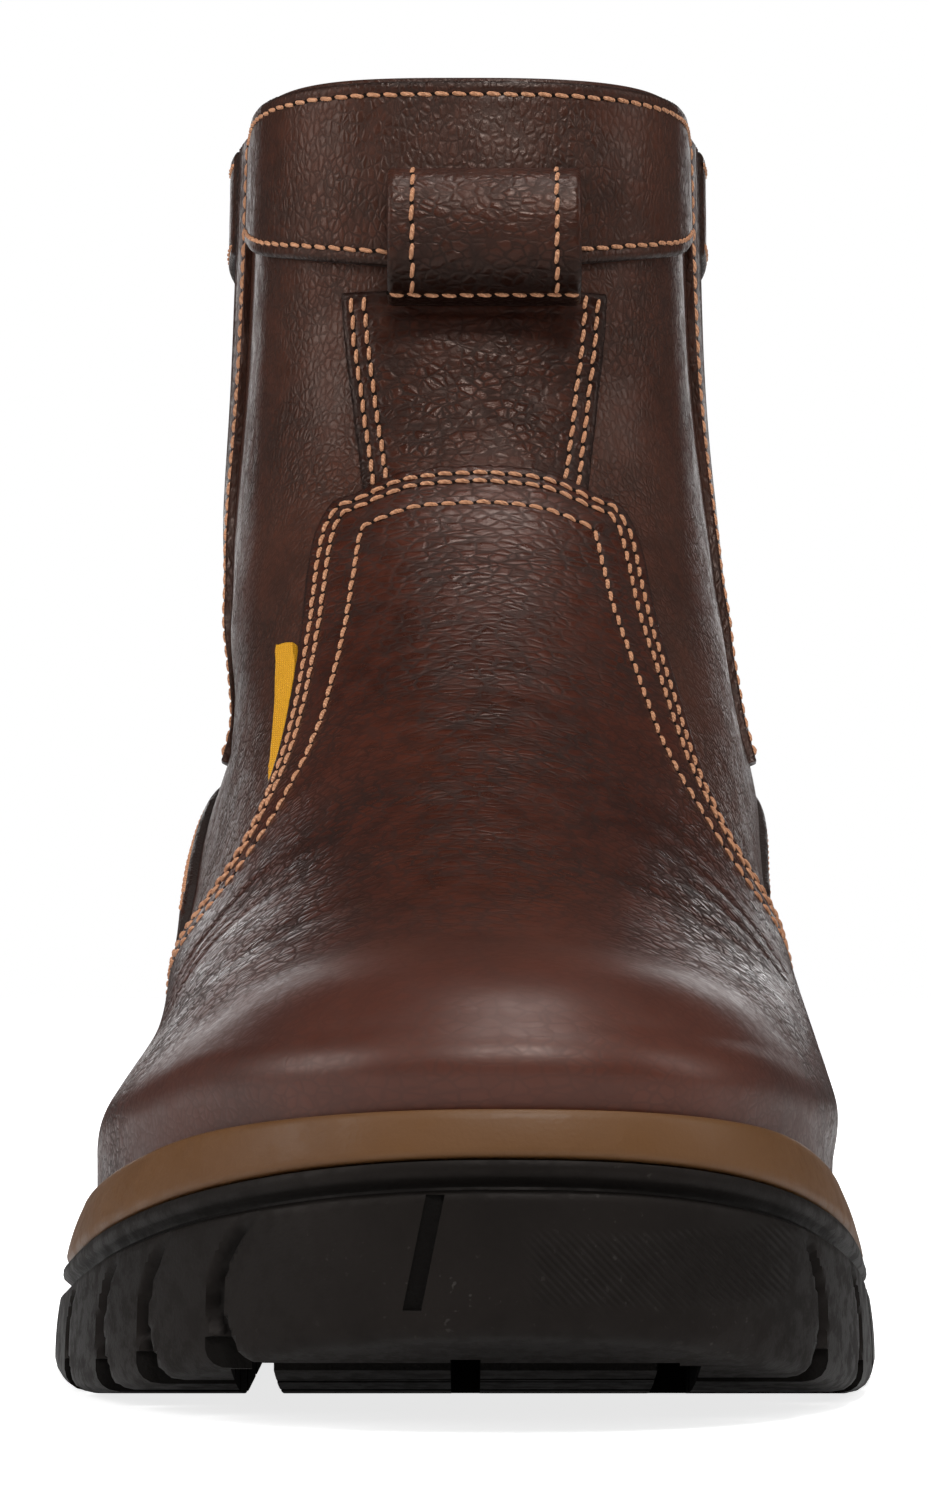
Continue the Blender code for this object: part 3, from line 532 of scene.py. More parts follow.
def addNode(tree, kind, inputs=None, **settings):
    # inputs maps a socket name or index to a value or to another node's output
    node = tree.nodes.new("ShaderNode" + kind)
    for key, value in settings.items():
        setattr(node, key, value)
    for key, value in (inputs or {}).items():
        if isinstance(value, bpy.types.NodeSocket):
            tree.links.new(value, node.inputs[key])
        else:
            node.inputs[key].default_value = value
    return node


def mathNode(tree, operation, a, b=0.0, clamp=False):
    return addNode(tree, "Math", {0: a, 1: b}, operation=operation, use_clamp=clamp).outputs[0]


def times(tree, value, amount):
    return mathNode(tree, "MULTIPLY", value, amount)


def rangeNode(tree, value, low, high, newLow=0.0, newHigh=1.0):
    node = addNode(tree, "MapRange", {0: value, 1: low, 2: high, 3: newLow, 4: newHigh},
                   interpolation_type="SMOOTHSTEP")
    return node.outputs[0]


def mixColour(tree, factor, a, b):
    node = addNode(tree, "Mix", data_type="RGBA")
    for index, value in ((0, factor), (6, a), (7, b)):
        if isinstance(value, bpy.types.NodeSocket):
            tree.links.new(value, node.inputs[index])
        else:
            node.inputs[index].default_value = value if index == 0 else (*value, 1.0)
    return node.outputs[2]


def objectPlace(tree):
    return addNode(tree, "TexCoord").outputs["Object"]


def noise(tree, place, scale, detail=2.0, rough=0.5, output="Fac"):
    sockets = {"Vector": place, "Scale": scale, "Detail": detail, "Roughness": rough}
    return addNode(tree, "TexNoise", sockets).outputs[output]


def cellEdges(tree, place, scale):
    node = addNode(tree, "TexVoronoi", {"Vector": place, "Scale": scale}, feature="DISTANCE_TO_EDGE")
    return node.outputs["Distance"]


def bandsNode(tree, place, scale, uneven, direction):
    sockets = {"Vector": place, "Scale": scale, "Distortion": uneven}
    return addNode(tree, "TexWave", sockets, bands_direction=direction).outputs["Fac"]


def vectorNode(tree, operation, a, b=(0.0, 0.0, 0.0), output=0):
    return addNode(tree, "VectorMath", {0: a, 1: b}, operation=operation).outputs[output]


grainShape = {
    "driftScale": 320.0, "driftReach": (0.0012, 0.0012, 0.0012), "lineEdge": (0.02, 0.15),
    "padEdge": (0.0, 0.30), "padShare": 0.78, "fineTimes": 2.3, "fineEdge": (0.0, 0.28), "fineShare": 0.16,
    "patchScale": 70.0, "patchEdge": (0.36, 0.64), "poreScale": 3200.0, "poreShare": 0.08,
}


def buildPebbleGrain():
    # irregular leather cells: raised pads between fine creases, with pores and uneven depth
    look = grainShape
    tree, start, end = startGroup(
        "pebbleGrain",
        (("Scale", "Float", 600.0), ("Stretch", "Vector", (1.0, 1.0, 1.0)), ("Patchiness", "Float", 0.5)),
        (("Height", "Float"), ("Crease", "Float")),
    )
    scale = start.outputs["Scale"]
    place = objectPlace(tree)
    stretched = vectorNode(tree, "MULTIPLY", place, start.outputs["Stretch"])
    drift = noise(tree, stretched, look["driftScale"], output="Color")
    warped = vectorNode(tree, "ADD", stretched, vectorNode(tree, "MULTIPLY", drift, look["driftReach"]))
    cells = cellEdges(tree, warped, scale)
    fine = cellEdges(tree, warped, times(tree, scale, look["fineTimes"]))
    lines = mathNode(tree, "SUBTRACT", 1.0, rangeNode(tree, cells, *look["lineEdge"]))
    patches = rangeNode(tree, noise(tree, place, look["patchScale"], 3.0), *look["patchEdge"])
    uneven = mathNode(tree, "SUBTRACT", 1.0, times(tree, start.outputs["Patchiness"], patches))
    pads = times(tree, rangeNode(tree, cells, *look["padEdge"]), look["padShare"])
    finePads = times(tree, rangeNode(tree, fine, *look["fineEdge"]), look["fineShare"])
    body = times(tree, mathNode(tree, "ADD", pads, finePads), uneven)
    pores = times(tree, noise(tree, place, look["poreScale"]), look["poreShare"])
    tree.links.new(mathNode(tree, "ADD", body, pores), end.inputs["Height"])
    tree.links.new(times(tree, lines, uneven), end.inputs["Crease"])
    return tree


# Each mask: times finer than the drift, noise detail and roughness, start and end of the mask
toneShape = {
    "Drift": (1.0, 4.0, 0.5, 0.32, 0.68),
    "Blotch": (9.0, 5.0, 0.65, 0.38, 0.66),
    "Rub": (4.0, 8.0, 0.7, 0.60, 0.74),
}


def buildToneDrift():
    # slow colour drift, small blotches and a few rubbed spots
    masks = [(key, "Float") for key in toneShape]
    tree, start, end = startGroup("toneDrift", (("Size", "Float", 30.0),), masks)
    place = objectPlace(tree)
    for key, (finer, detail, rough, low, high) in toneShape.items():
        scale = times(tree, start.outputs["Size"], finer)
        tree.links.new(rangeNode(tree, noise(tree, place, scale, detail, rough), low, high), end.inputs[key])
    return tree


def buildZone():
    # soft band of places along one direction: 0 before the start, 1 after the end
    tree, start, end = startGroup(
        "zone", (("Direction", "Vector", (0.0, -1.0, 0.0)), ("From", "Float", 0.09), ("To", "Float", 0.13)),
        (("Mask", "Float"),))
    along = vectorNode(tree, "DOT_PRODUCT", objectPlace(tree), start.outputs["Direction"], "Value")
    mask = rangeNode(tree, along, start.outputs["From"], start.outputs["To"])
    tree.links.new(mask, end.inputs["Mask"])
    return tree


pebbleGrain = buildPebbleGrain()
toneDrift = buildToneDrift()
zoneMask = buildZone()
print("shader groups ready")


def useGroup(tree, group, **values):
    node = tree.nodes.new("ShaderNodeGroup")
    node.node_tree = group
    for key, value in values.items():
        node.inputs[key].default_value = value
    return node


def startMaterial(name, plain):
    material = bpy.data.materials.new(name)
    material.use_nodes = True
    tree = material.node_tree
    shader = tree.nodes["Principled BSDF"]
    for key, value in plain.items():
        shader.inputs[key].default_value = value
    return material, tree, shader


def wireLook(tree, shader, colour, rough, height=None, depth=0.0, strength=1.0):
    tree.links.new(colour, shader.inputs["Base Color"])
    tree.links.new(rough, shader.inputs["Roughness"])
    if height is not None:
        bump = addNode(tree, "Bump", {"Height": height, "Distance": depth, "Strength": strength})
        tree.links.new(bump.outputs["Normal"], shader.inputs["Normal"])


# darkness read from the mesh: edge dye along cut edges, painted shade in channels, grooves and under the loop
def edgeDyeAndPaintedShade(tree, amount):
    edge = addNode(tree, "Attribute", attribute_name="edgeDyeAndPaintedShade").outputs["Fac"]
    return mathNode(tree, "MULTIPLY", edge, amount, clamp=True)


def makeLeather(name, look):
    material, tree, shader = startMaterial(name, {
        "Specular IOR Level": look["specular"], "Specular Tint": look["glossTint"],
        "Coat Roughness": look["polishRough"]})

    grain = useGroup(tree, pebbleGrain, Scale=look["grainScale"], Stretch=look["stretch"],
                     Patchiness=look["patchiness"]).outputs
    folds = useGroup(tree, pebbleGrain, Scale=look["foldScale"], Stretch=look["foldStretch"],
                     Patchiness=look["foldPatches"]).outputs
    tone = useGroup(tree, toneDrift, Size=look["toneSize"]).outputs
    colour = mixColour(tree, tone["Drift"], look["dark"], look["light"])
    colour = mixColour(tree, times(tree, tone["Blotch"], look["blotch"]), colour, look["red"])
    rough = rangeNode(tree, tone["Blotch"], 0.0, 1.0, *look["rough"])
    height = mathNode(tree, "ADD", grain["Height"], times(tree, folds["Height"], look["foldHeight"]))
    crease = mathNode(tree, "MAXIMUM", grain["Crease"], times(tree, folds["Crease"], look["foldShade"]))
    if "toe" in look:
        # smoother, polished and lighter over the toe box
        toe = look["toe"]
        zone = useGroup(tree, zoneMask, Direction=toe["direction"], From=toe["from"], To=toe["to"])
        mask = zone.outputs["Mask"]
        colour = mixColour(tree, mask, colour, mixColour(tree, tone["Drift"], toe["dark"], toe["light"]))
        grainLeft = rangeNode(tree, mask, 0.0, 1.0, 1.0, toe["grainLeft"])
        height, crease = times(tree, height, grainLeft), times(tree, crease, grainLeft)
        rough = mathNode(tree, "ADD", rough, rangeNode(tree, mask, 0.0, 1.0, 0.0, toe["roughChange"]))
        tree.links.new(times(tree, mask, toe["polish"]), shader.inputs["Coat Weight"])
    # painted shade in the grain's creases and folds
    colour = mixColour(tree, times(tree, crease, look["creaseShade"]), colour, look["crease"])
    colour = mixColour(tree, times(tree, tone["Rub"], look["rub"]), colour, look["rubColour"])
    # dyed cut edges and painted shade, mixed towards the crease colour
    colour = mixColour(tree, edgeDyeAndPaintedShade(tree, look["edgeDyeAndPaintedShade"]), colour, look["crease"])
    rough = mathNode(tree, "ADD", rough, times(tree, crease, look["creaseRough"]))
    wireLook(tree, shader, colour, rough, height, look["grainDepth"])
    return material


shaftLook = {
    "dark": (0.032, 0.0108, 0.0064), "light": (0.056, 0.0195, 0.0115),
    "red": (0.074, 0.0190, 0.0090), "blotch": 0.4,
    # crease: the dark colour of the painted shade in creases and channels, also used for dyed edges
    "crease": (0.004, 0.0015, 0.0011), "creaseShade": 0.55, "rub": 0.15, "rubColour": (0.10, 0.046, 0.030),
    "rough": (0.31, 0.41), "specular": 0.32, "glossTint": (1.0, 0.80, 0.70, 1.0),
    "grainScale": 860.0, "stretch": (1.0, 1.0, 0.75), "patchiness": 0.5,
    "foldScale": 300.0, "foldStretch": (1.0, 1.0, 0.42), "foldHeight": 0.7, "foldShade": 0.45,
    "foldPatches": 0.9, "toneSize": 26.0, "grainDepth": 0.00011, "creaseRough": 0.3, "edgeDyeAndPaintedShade": 0.85,
    "polishRough": 0.44,
}
vampLook = dict(shaftLook, **{
    "dark": (0.027, 0.0062, 0.0032), "light": (0.051, 0.0122, 0.0060),
    "red": (0.072, 0.0142, 0.0060), "blotch": 0.5,
    "grainScale": 660.0, "stretch": (0.55, 1.0, 1.0), "patchiness": 0.4, "grainDepth": 0.00008,
    "rough": (0.27, 0.35), "specular": 0.34, "creaseShade": 0.75,
    "foldScale": 290.0, "foldStretch": (0.32, 1.0, 1.0), "foldHeight": 0.5, "foldShade": 0.7,
    "toe": {
        "direction": (0.0, -1.0, -0.25), "from": 0.068, "to": 0.114, "grainLeft": 0.30, "roughChange": 0.12,
        "polish": 0.40, "dark": (0.045, 0.0094, 0.0043), "light": (0.078, 0.0172, 0.0076),
    },
})
bandLook = dict(shaftLook, **{
    "stretch": (1.0, 1.0, 0.6), "foldStretch": (1.0, 1.0, 0.3), "foldScale": 330.0, "foldShade": 0.6,
})
loopLook = dict(shaftLook, **{
    "dark": (0.030, 0.0090, 0.0053), "light": (0.052, 0.0160, 0.0090),
    "rough": (0.28, 0.36), "creaseShade": 0.7, "grainScale": 680.0, "stretch": (0.7, 1.0, 1.0),
    "foldScale": 290.0, "foldStretch": (0.45, 1.0, 0.9), "foldShade": 0.8,
})
# the patch: the loop's leather with less gloss and darker, painted shade below the loop
patchShadedLook = dict(loopLook, **{
    "specular": 0.25, "dark": (0.023, 0.0065, 0.0038), "light": (0.041, 0.0118, 0.0066),
})

shaftLeather = makeLeather("shaftLeather", shaftLook)
vampLeather = makeLeather("vampLeather", vampLook)
bandLeather = makeLeather("bandLeather", bandLook)
loopLeather = makeLeather("loopLeather", loopLook)
patchShadedLeather = makeLeather("patchShadedLeather", patchShadedLook)


def makeDull(name, look):
    # dull, speckled surface: raw edges, and the painted shade of needle holes and of rubber deep in the slots
    material, tree, shader = startMaterial(name, {"Specular IOR Level": look["specular"]})
    speck = noise(tree, objectPlace(tree), look["scale"], look["detail"])
    colour = mixColour(tree, speck, look["dark"], look["light"])
    wireLook(tree, shader, colour, rangeNode(tree, speck, 0.2, 0.8, *look["rough"]), speck, look["depth"])
    return material


threadLook = {
    "dark": (0.40, 0.175, 0.090), "light": (0.66, 0.340, 0.185), "worn": (0.53, 0.245, 0.125),
    "toneSize": 120.0, "twist": 620.0, "unevenTwist": 3.0,
    "rough": (0.72, 0.52), "depth": 0.00012, "specular": 0.4,
}


def makeThread():
    # waxed tan thread with its twist
    look = threadLook
    material, tree, shader = startMaterial("threadTan", {"Specular IOR Level": look["specular"]})
    twist = bandsNode(tree, objectPlace(tree), look["twist"], look["unevenTwist"], "DIAGONAL")
    tone = useGroup(tree, toneDrift, Size=look["toneSize"])
    colour = mixColour(tree, twist, look["dark"], look["light"])
    colour = mixColour(tree, tone.outputs["Drift"], colour, look["worn"])
    wireLook(tree, shader, colour, rangeNode(tree, twist, 0.0, 1.0, *look["rough"]), twist, look["depth"])
    return material


rawEdgeLook = {
    "dark": (0.008, 0.005, 0.004), "light": (0.030, 0.015, 0.011), "scale": 1800.0, "detail": 4.0,
    "rough": (0.60, 0.85), "depth": 0.0002, "specular": 0.3,
}
needleHoleShadeLook = {
    "dark": (0.004, 0.0022, 0.0016), "light": (0.011, 0.006, 0.004), "scale": 2500.0, "detail": 2.0,
    "rough": (0.8, 0.95), "depth": 0.0, "specular": 0.1,
}
slotShadeRubberLook = {
    "dark": (0.003, 0.0024, 0.002), "light": (0.007, 0.0058, 0.005), "scale": 1500.0, "detail": 3.0,
    "rough": (0.8, 0.95), "depth": 0.0002, "specular": 0.1,
}
rawEdge = makeDull("rawEdge", rawEdgeLook)
threadTan = makeThread()
needleHoleShade = makeDull("needleHoleShade", needleHoleShadeLook)
rubberSlotShade = makeDull("rubberSlotShade", slotShadeRubberLook)
print("leather and thread ready")


def buildWeave():
    # plain weave: over and under threads as a height, with uneven yarn
    tree, start, end = startGroup(
        "weave", (("Scale", "Float", 900.0),), (("Height", "Float"), ("Yarn", "Float")))
    place = objectPlace(tree)
    warp, weft = (bandsNode(tree, place, start.outputs["Scale"], 0.6, way) for way in ("X", "Z"))
    tree.links.new(times(tree, warp, weft), end.inputs["Height"])
    tree.links.new(noise(tree, place, 420.0, 3.0), end.inputs["Yarn"])
    return tree


weaveCloth = buildWeave()


def makeCloth(name, look):
    material, tree, shader = startMaterial(name, {"Specular IOR Level": look["specular"]})
    weave = useGroup(tree, weaveCloth, Scale=look["scale"]).outputs
    tone = useGroup(tree, toneDrift, Size=look["toneSize"]).outputs
    colour = mixColour(tree, weave["Height"], look["dark"], look["light"])
    colour = mixColour(tree, times(tree, tone["Blotch"], look["wear"]), colour, look["worn"])
    rough = rangeNode(tree, weave["Yarn"], 0.2, 0.8, *look["rough"])
    wireLook(tree, shader, colour, rough, weave["Height"], look["depth"])
    return material


liningLook = {
    "dark": (0.060, 0.036, 0.022), "light": (0.125, 0.078, 0.050), "worn": (0.070, 0.042, 0.027),
    "wear": 0.35, "scale": 420.0, "toneSize": 22.0, "specular": 0.25, "rough": (0.82, 0.95), "depth": 0.00025,
}
tabLook = {
    "dark": (0.60, 0.27, 0.006), "light": (0.82, 0.41, 0.011), "worn": (0.66, 0.31, 0.009),
    "wear": 0.35, "scale": 900.0, "toneSize": 60.0, "specular": 0.35, "rough": (0.5, 0.68), "depth": 0.00012,
}
insoleLook = {
    "dark": (0.060, 0.045, 0.034), "light": (0.130, 0.098, 0.072), "worn": (0.085, 0.060, 0.042),
    "wear": 0.35, "scale": 520.0, "toneSize": 18.0, "specular": 0.2, "rough": (0.85, 0.97), "depth": 0.00025,
}
liningCloth = makeCloth("liningCloth", liningLook)
tabCloth = makeCloth("tabCloth", tabLook)
insoleCloth = makeCloth("insoleCloth", insoleLook)


bandTanLook = {
    "dark": (0.100, 0.042, 0.0125), "light": (0.128, 0.057, 0.0185),
    "rub": 0.3, "rubColour": (0.10, 0.046, 0.018), "toneSize": 24.0,
    "rough": (0.46, 0.58), "specular": 0.30, "textureScale": 1500.0, "depth": 0.00004,
}


def makeBandMaterial():
    # smooth satin tan band: slight drift of tone, faint scuffs, moulded micro texture
    look = bandTanLook
    material, tree, shader = startMaterial("bandTan", {"Specular IOR Level": look["specular"]})
    tone = useGroup(tree, toneDrift, Size=look["toneSize"]).outputs
    colour = mixColour(tree, tone["Drift"], look["dark"], look["light"])
    colour = mixColour(tree, times(tree, tone["Rub"], look["rub"]), colour, look["rubColour"])
    rough = rangeNode(tree, tone["Blotch"], 0.0, 1.0, *look["rough"])
    texture = noise(tree, objectPlace(tree), look["textureScale"], 3.0)
    wireLook(tree, shader, colour, rough, texture, look["depth"])
    return material


rubberLook = {
    # groove: the colour of the painted shade in the side wall's grooves and under the rim
    "dark": (0.0060, 0.0047, 0.0040), "light": (0.0102, 0.0081, 0.0070), "groove": (0.0015, 0.0012, 0.001),
    "grooveShade": 0.9, "toneSize": 34.0,
    "rough": (0.50, 0.66), "specular": 0.13, "glossTint": (1.0, 0.90, 0.85, 1.0),
    "textureScale": 1900.0, "texture": 0.16, "depth": 0.00035, "strength": 0.8,
    "dust": (0.075, 0.068, 0.062), "dustAmount": 0.5, "dustScale": 900.0,
    "dustEdge": (0.66, 0.74), "dustPatch": (0.3, 1.0),
    "hatchTurn": (0.0, 0.75, 0.0), "hatchScale": 400.0, "hatchUneven": 0.4,
    # the hatch's field on the bumper: direction, start and end of its fade, in metres
    "hatchField": (
        ((1.0, 0.0, 0.0), 0.006, 0.010), ((-1.0, 0.0, 0.0), -0.043, -0.037), ((0.0, -1.0, 0.0), 0.128, 0.132),
        ((0.0, 0.0, 1.0), 0.015, 0.018), ((0.0, 0.0, -1.0), -0.0262, -0.0240),
    ),
}


def makeRubber():
    # matte black rubber with fine mould texture, pale dust specks, a diagonal hatch on the bumper and painted
    # shade in its grooves
    look = rubberLook
    material, tree, shader = startMaterial("rubberBlack", {
        "Specular IOR Level": look["specular"], "Specular Tint": look["glossTint"]})

    tone = useGroup(tree, toneDrift, Size=look["toneSize"]).outputs
    place = objectPlace(tree)
    turned = addNode(tree, "Mapping", {"Vector": place, "Rotation": look["hatchTurn"]}).outputs[0]
    hatch = bandsNode(tree, turned, look["hatchScale"], look["hatchUneven"], "X")
    for direction, start, end in look["hatchField"]:
        field = useGroup(tree, zoneMask, Direction=direction, From=start, To=end)
        hatch = times(tree, hatch, field.outputs["Mask"])
    texture = times(tree, noise(tree, place, look["textureScale"], 4.0), look["texture"])
    speck = rangeNode(tree, noise(tree, place, look["dustScale"]), *look["dustEdge"])
    dust = times(tree, speck, rangeNode(tree, tone["Drift"], *look["dustPatch"]))
    colour = mixColour(tree, tone["Drift"], look["dark"], look["light"])
    colour = mixColour(tree, times(tree, dust, look["dustAmount"]), colour, look["dust"])
    # painted shade in the side wall's grooves and in the groove under the rim
    colour = mixColour(tree, edgeDyeAndPaintedShade(tree, look["grooveShade"]), colour, look["groove"])
    rough = rangeNode(tree, tone["Blotch"], 0.0, 1.0, *look["rough"])
    height = mathNode(tree, "ADD", texture, hatch)
    wireLook(tree, shader, colour, rough, height, look["depth"], look["strength"])
    return material


floorLook = {
    "dark": (0.86, 0.86, 0.86), "light": (0.88, 0.88, 0.88), "toneSize": 3.0,
    "rough": (0.80, 0.84), "specular": 0.1,
    # glow that only the camera sees, from near the boot to far off, and a faint one for all
    "near": 0.25, "far": 0.75, "glow": (0.70, 0.95), "glowForAll": 0.08,
    "corners": ((-3.0, -2.5, 0.0), (3.0, -2.5, 0.0), (3.0, 5.0, 0.0), (-3.0, 5.0, 0.0)),
}


def makeFloorMaterial():
    # pale floor that shows white in the picture and keeps the boot's soft shadow
    look = floorLook
    material, tree, shader = startMaterial("floorPale", {
        "Specular IOR Level": look["specular"], "Emission Color": (1.0, 1.0, 1.0, 1.0)})
    tone = useGroup(tree, toneDrift, Size=look["toneSize"]).outputs
    colour = mixColour(tree, tone["Drift"], look["dark"], look["light"])
    wireLook(tree, shader, colour, rangeNode(tree, tone["Blotch"], 0.0, 1.0, *look["rough"]))
    seen = addNode(tree, "LightPath").outputs["Is Camera Ray"]
    away = vectorNode(tree, "LENGTH", objectPlace(tree), output="Value")
    glow = times(tree, seen, rangeNode(tree, away, look["near"], look["far"], *look["glow"]))
    tree.links.new(mathNode(tree, "ADD", glow, look["glowForAll"]), shader.inputs["Emission Strength"])
    return material


bandTan = makeBandMaterial()
rubberBlack = makeRubber()
floorPale = makeFloorMaterial()
print("cloth, band and rubber ready")


# The boot's pieces

upperLook = {"columns": 260, "rows": 110, "wall": 2.0, "rimSteps": 6}


def buildUpper():
    look = upperLook
    cols, rows, steps = look["columns"], look["rows"], look["rimSteps"]
    turns = np.linspace(0.0, 360.0, cols, endpoint=False)
    levels = np.linspace(0.0, 1.0, rows)
    outer, normal = creasedSurface(levels[:, None], turns[None])
    flat = unit(normal * np.array((1.0, 1.0, 0.0)))
    half = look["wall"] / 2
    middle = outer[-1] - flat[-1] * half
    # the rim rolls over from the leather to the lining
    rim = [middle + flat[-1] * half * cos(angle) + np.array((0.0, 0.0, half * sin(angle)))
           for angle in np.linspace(0.0, pi, steps + 2)[1:-1]]
    inner = (outer - flat * look["wall"])[::-1]
    points = np.concatenate((outer, np.array(rim), inner))
    total = len(points)
    ring = np.repeat(np.arange(total - 1), cols)
    slots = np.where(ring >= rows + steps // 2 - 1, 1, 0)
    first = np.arange(cols)
    after = (first + 1) % cols
    last = (total - 1) * cols
    closing = np.stack((last + first, last + after, after, first), -1)
    makePiece("upperShell", points, [gridFaces(total, cols, wrap=True), closing], [shaftLeather, liningCloth],
              np.concatenate((slots, np.ones(cols))), "upper")


def awayFrom(turn, middle=0.0):
    # degrees round the boot from a middle, to either side
    return np.abs((turn - middle + 180.0) % 360.0 - 180.0)


def edgeLevel(rows, middle=0.0):
    table = np.array(rows)
    return lambda turn: through(table[:, 0], table[:, 1], awayFrom(turn, middle))


def flatLevel(level):
    return lambda turn: np.full(np.shape(turn), level)


# Edge lines of the panels: degrees from the front, level on the upper
frontTurn = 1.5    # tongue and patch sit a little round to the inner side
vampEdge = edgeLevel((
    (0.0, 0.800), (10.0, 0.794), (18.0, 0.780), (25.0, 0.766), (29.0, 0.735), (32.0, 0.680), (36.0, 0.625),
    (42.0, 0.545), (50.0, 0.462), (60.0, 0.395), (77.0, 0.300), (99.0, 0.235)), frontTurn)
counterEdge = edgeLevel((
    (84.0, 0.40), (92.0, 0.47), (100.0, 0.52), (112.0, 0.55), (130.0, 0.57), (180.0, 0.60)))
bandEdge = edgeLevel(((0.0, 0.922), (40.0, 0.935), (83.0, 0.955), (140.0, 0.935), (180.0, 0.925)))
wingEnd = 100.4    # behind the vamp's wing the counter reaches down to the sole
tabFold = {"level": 0.657, "turn": 39.0, "slope": 0.027}


def overVamp(lift):
    return lambda turn: vampEdge(turn) + lift


def counterFoot(turn):
    return np.where(awayFrom(turn) >= wingEnd, 0.0, overVamp(0.008)(turn))


def tabTop(turn):
    return tabFold["level"] - tabFold["slope"] * np.maximum(0.0, np.abs(turn) - tabFold["turn"])


def patchPinch(share):
    return 0.90 + 0.19 * share ** 1.2    # hourglass: slimmer at its foot


vampPanelLook = {
    "turns": (-99.0, 99.0), "columns": 300, "rows": 120, "low": flatLevel(0.0), "high": vampEdge,
    "cut": ("top", "start", "end"), "channels": (2.0, 3.8, 8.6),
}
counterPanelLook = {
    "turns": (84.0, 276.0), "columns": 300, "rows": 80, "low": counterFoot, "high": counterEdge,
    "cut": ("top", "start", "end"), "channels": (2.0, 4.0),
}
bandFrontLook = {
    "turns": (-74.9, 74.9), "columns": 240, "rows": 50, "low": bandEdge, "high": flatLevel(1.0),
    "cut": ("foot", "top", "start", "end"), "thick": 1.75, "roll": 1.0, "channels": (2.2,),
}
bandBackLook = dict(bandFrontLook, turns=(90.3, 269.7))
stripInnerLook = {
    "turns": (75.5, 88.5), "columns": 30, "rows": 160, "low": flatLevel(0.56), "high": flatLevel(1.0),
    "lean": 12.0, "cut": ("start", "end", "foot"), "thick": 1.3, "roll": 0.6,
    "channels": (1.3, 3.1), "edgeDark": 0.3,
}
stripOuterLook = dict(stripInnerLook, turns=(271.5, 284.5), lean=-12.0)
patchPanelLook = {
    "turns": (frontTurn - 18.5, frontTurn + 18.5), "columns": 60, "rows": 60, "low": overVamp(-0.012),
    "high": flatLevel(0.914), "cut": ("start", "end", "top"), "thick": 1.2, "channels": (1.8, 3.9),
    "edgeWidth": 1.3, "pinch": patchPinch,
}
tabPanelLook = {
    "turns": (-43.5, -34.0), "columns": 30, "rows": 16, "low": overVamp(0.003), "high": tabTop,
    "cut": ("top", "start"), "thick": 1.2, "roll": 0.4,
}

buildUpper()
print("upper built")
vampPanel = makePanel("vampPanel", vampPanelLook, [vampLeather, rawEdge], "vamp")
counterPanel = makePanel("counterPanel", counterPanelLook, [shaftLeather, rawEdge], "counter")
bandFront = makePanel("collarBandFront", bandFrontLook, [bandLeather, rawEdge], "collar_band_front")
bandBack = makePanel("collarBandBack", bandBackLook, [bandLeather, rawEdge], "collar_band_back")
stripInner = makePanel("sideStripInner", stripInnerLook, [bandLeather, bandLeather], "side_strip_medial")
stripOuter = makePanel("sideStripOuter", stripOuterLook, [bandLeather, bandLeather], "side_strip_lateral")
patchPanel = makePanel("pullPatch", patchPanelLook, [patchShadedLeather, rawEdge], "pull_patch")
makePanel("sideTab", tabPanelLook, [tabCloth, tabCloth], "side_tab")
print("panels built")


# Pull loop: a strap bent to a D, sewn to the shaft at its foot
loopShape = {
    "width": 31.0, "middle": 3.0, "low": 164.0, "high": 186.0, "reach": 10.5, "strap": 2.2,
    "seatLevel": 0.905, "steps": 48, "backSteps": 16, "columns": 44, "outPower": 0.75, "risePower": 0.85,
    "roll": 0.9, "edgePull": 0.9, "seamInset": 3.7, "seamDepth": 0.16, "seamHalf": 0.6,
    "slack": 0.35, "slackWave": 0.19, "slackPhase": 0.6,    # the strap's front isn't quite flat
    "underside": (175.0, 9.0),                              # painted shade: below this height the strap is darkened as it rolls under
    "rowStart": 4, "rowEnd": 6, "baseRow": 7, "baseNormal": (0.0, -0.8, -0.6),
}


def strapProfile(inset, floorInset):
    look = loopShape
    low, high = look["low"] + floorInset, look["high"] - inset
    middle, half = (low + high) / 2, (high - low) / 2
    upright = np.linspace(low, high, look["backSteps"] + 1)
    back = np.stack((np.full(upright.shape, inset), upright), -1)
    angle = pi / 2 - pi * np.arange(1, look["steps"]) / look["steps"]
    out = np.abs(np.cos(angle)) ** look["outPower"]
    rise = np.abs(np.sin(angle)) ** look["risePower"] * np.where(angle > 0.0, 1.0, -1.0)
    front = np.stack((inset + (look["reach"] - 2.0 * inset) * out, middle + half * rise), -1)
    return np.concatenate((back, front))


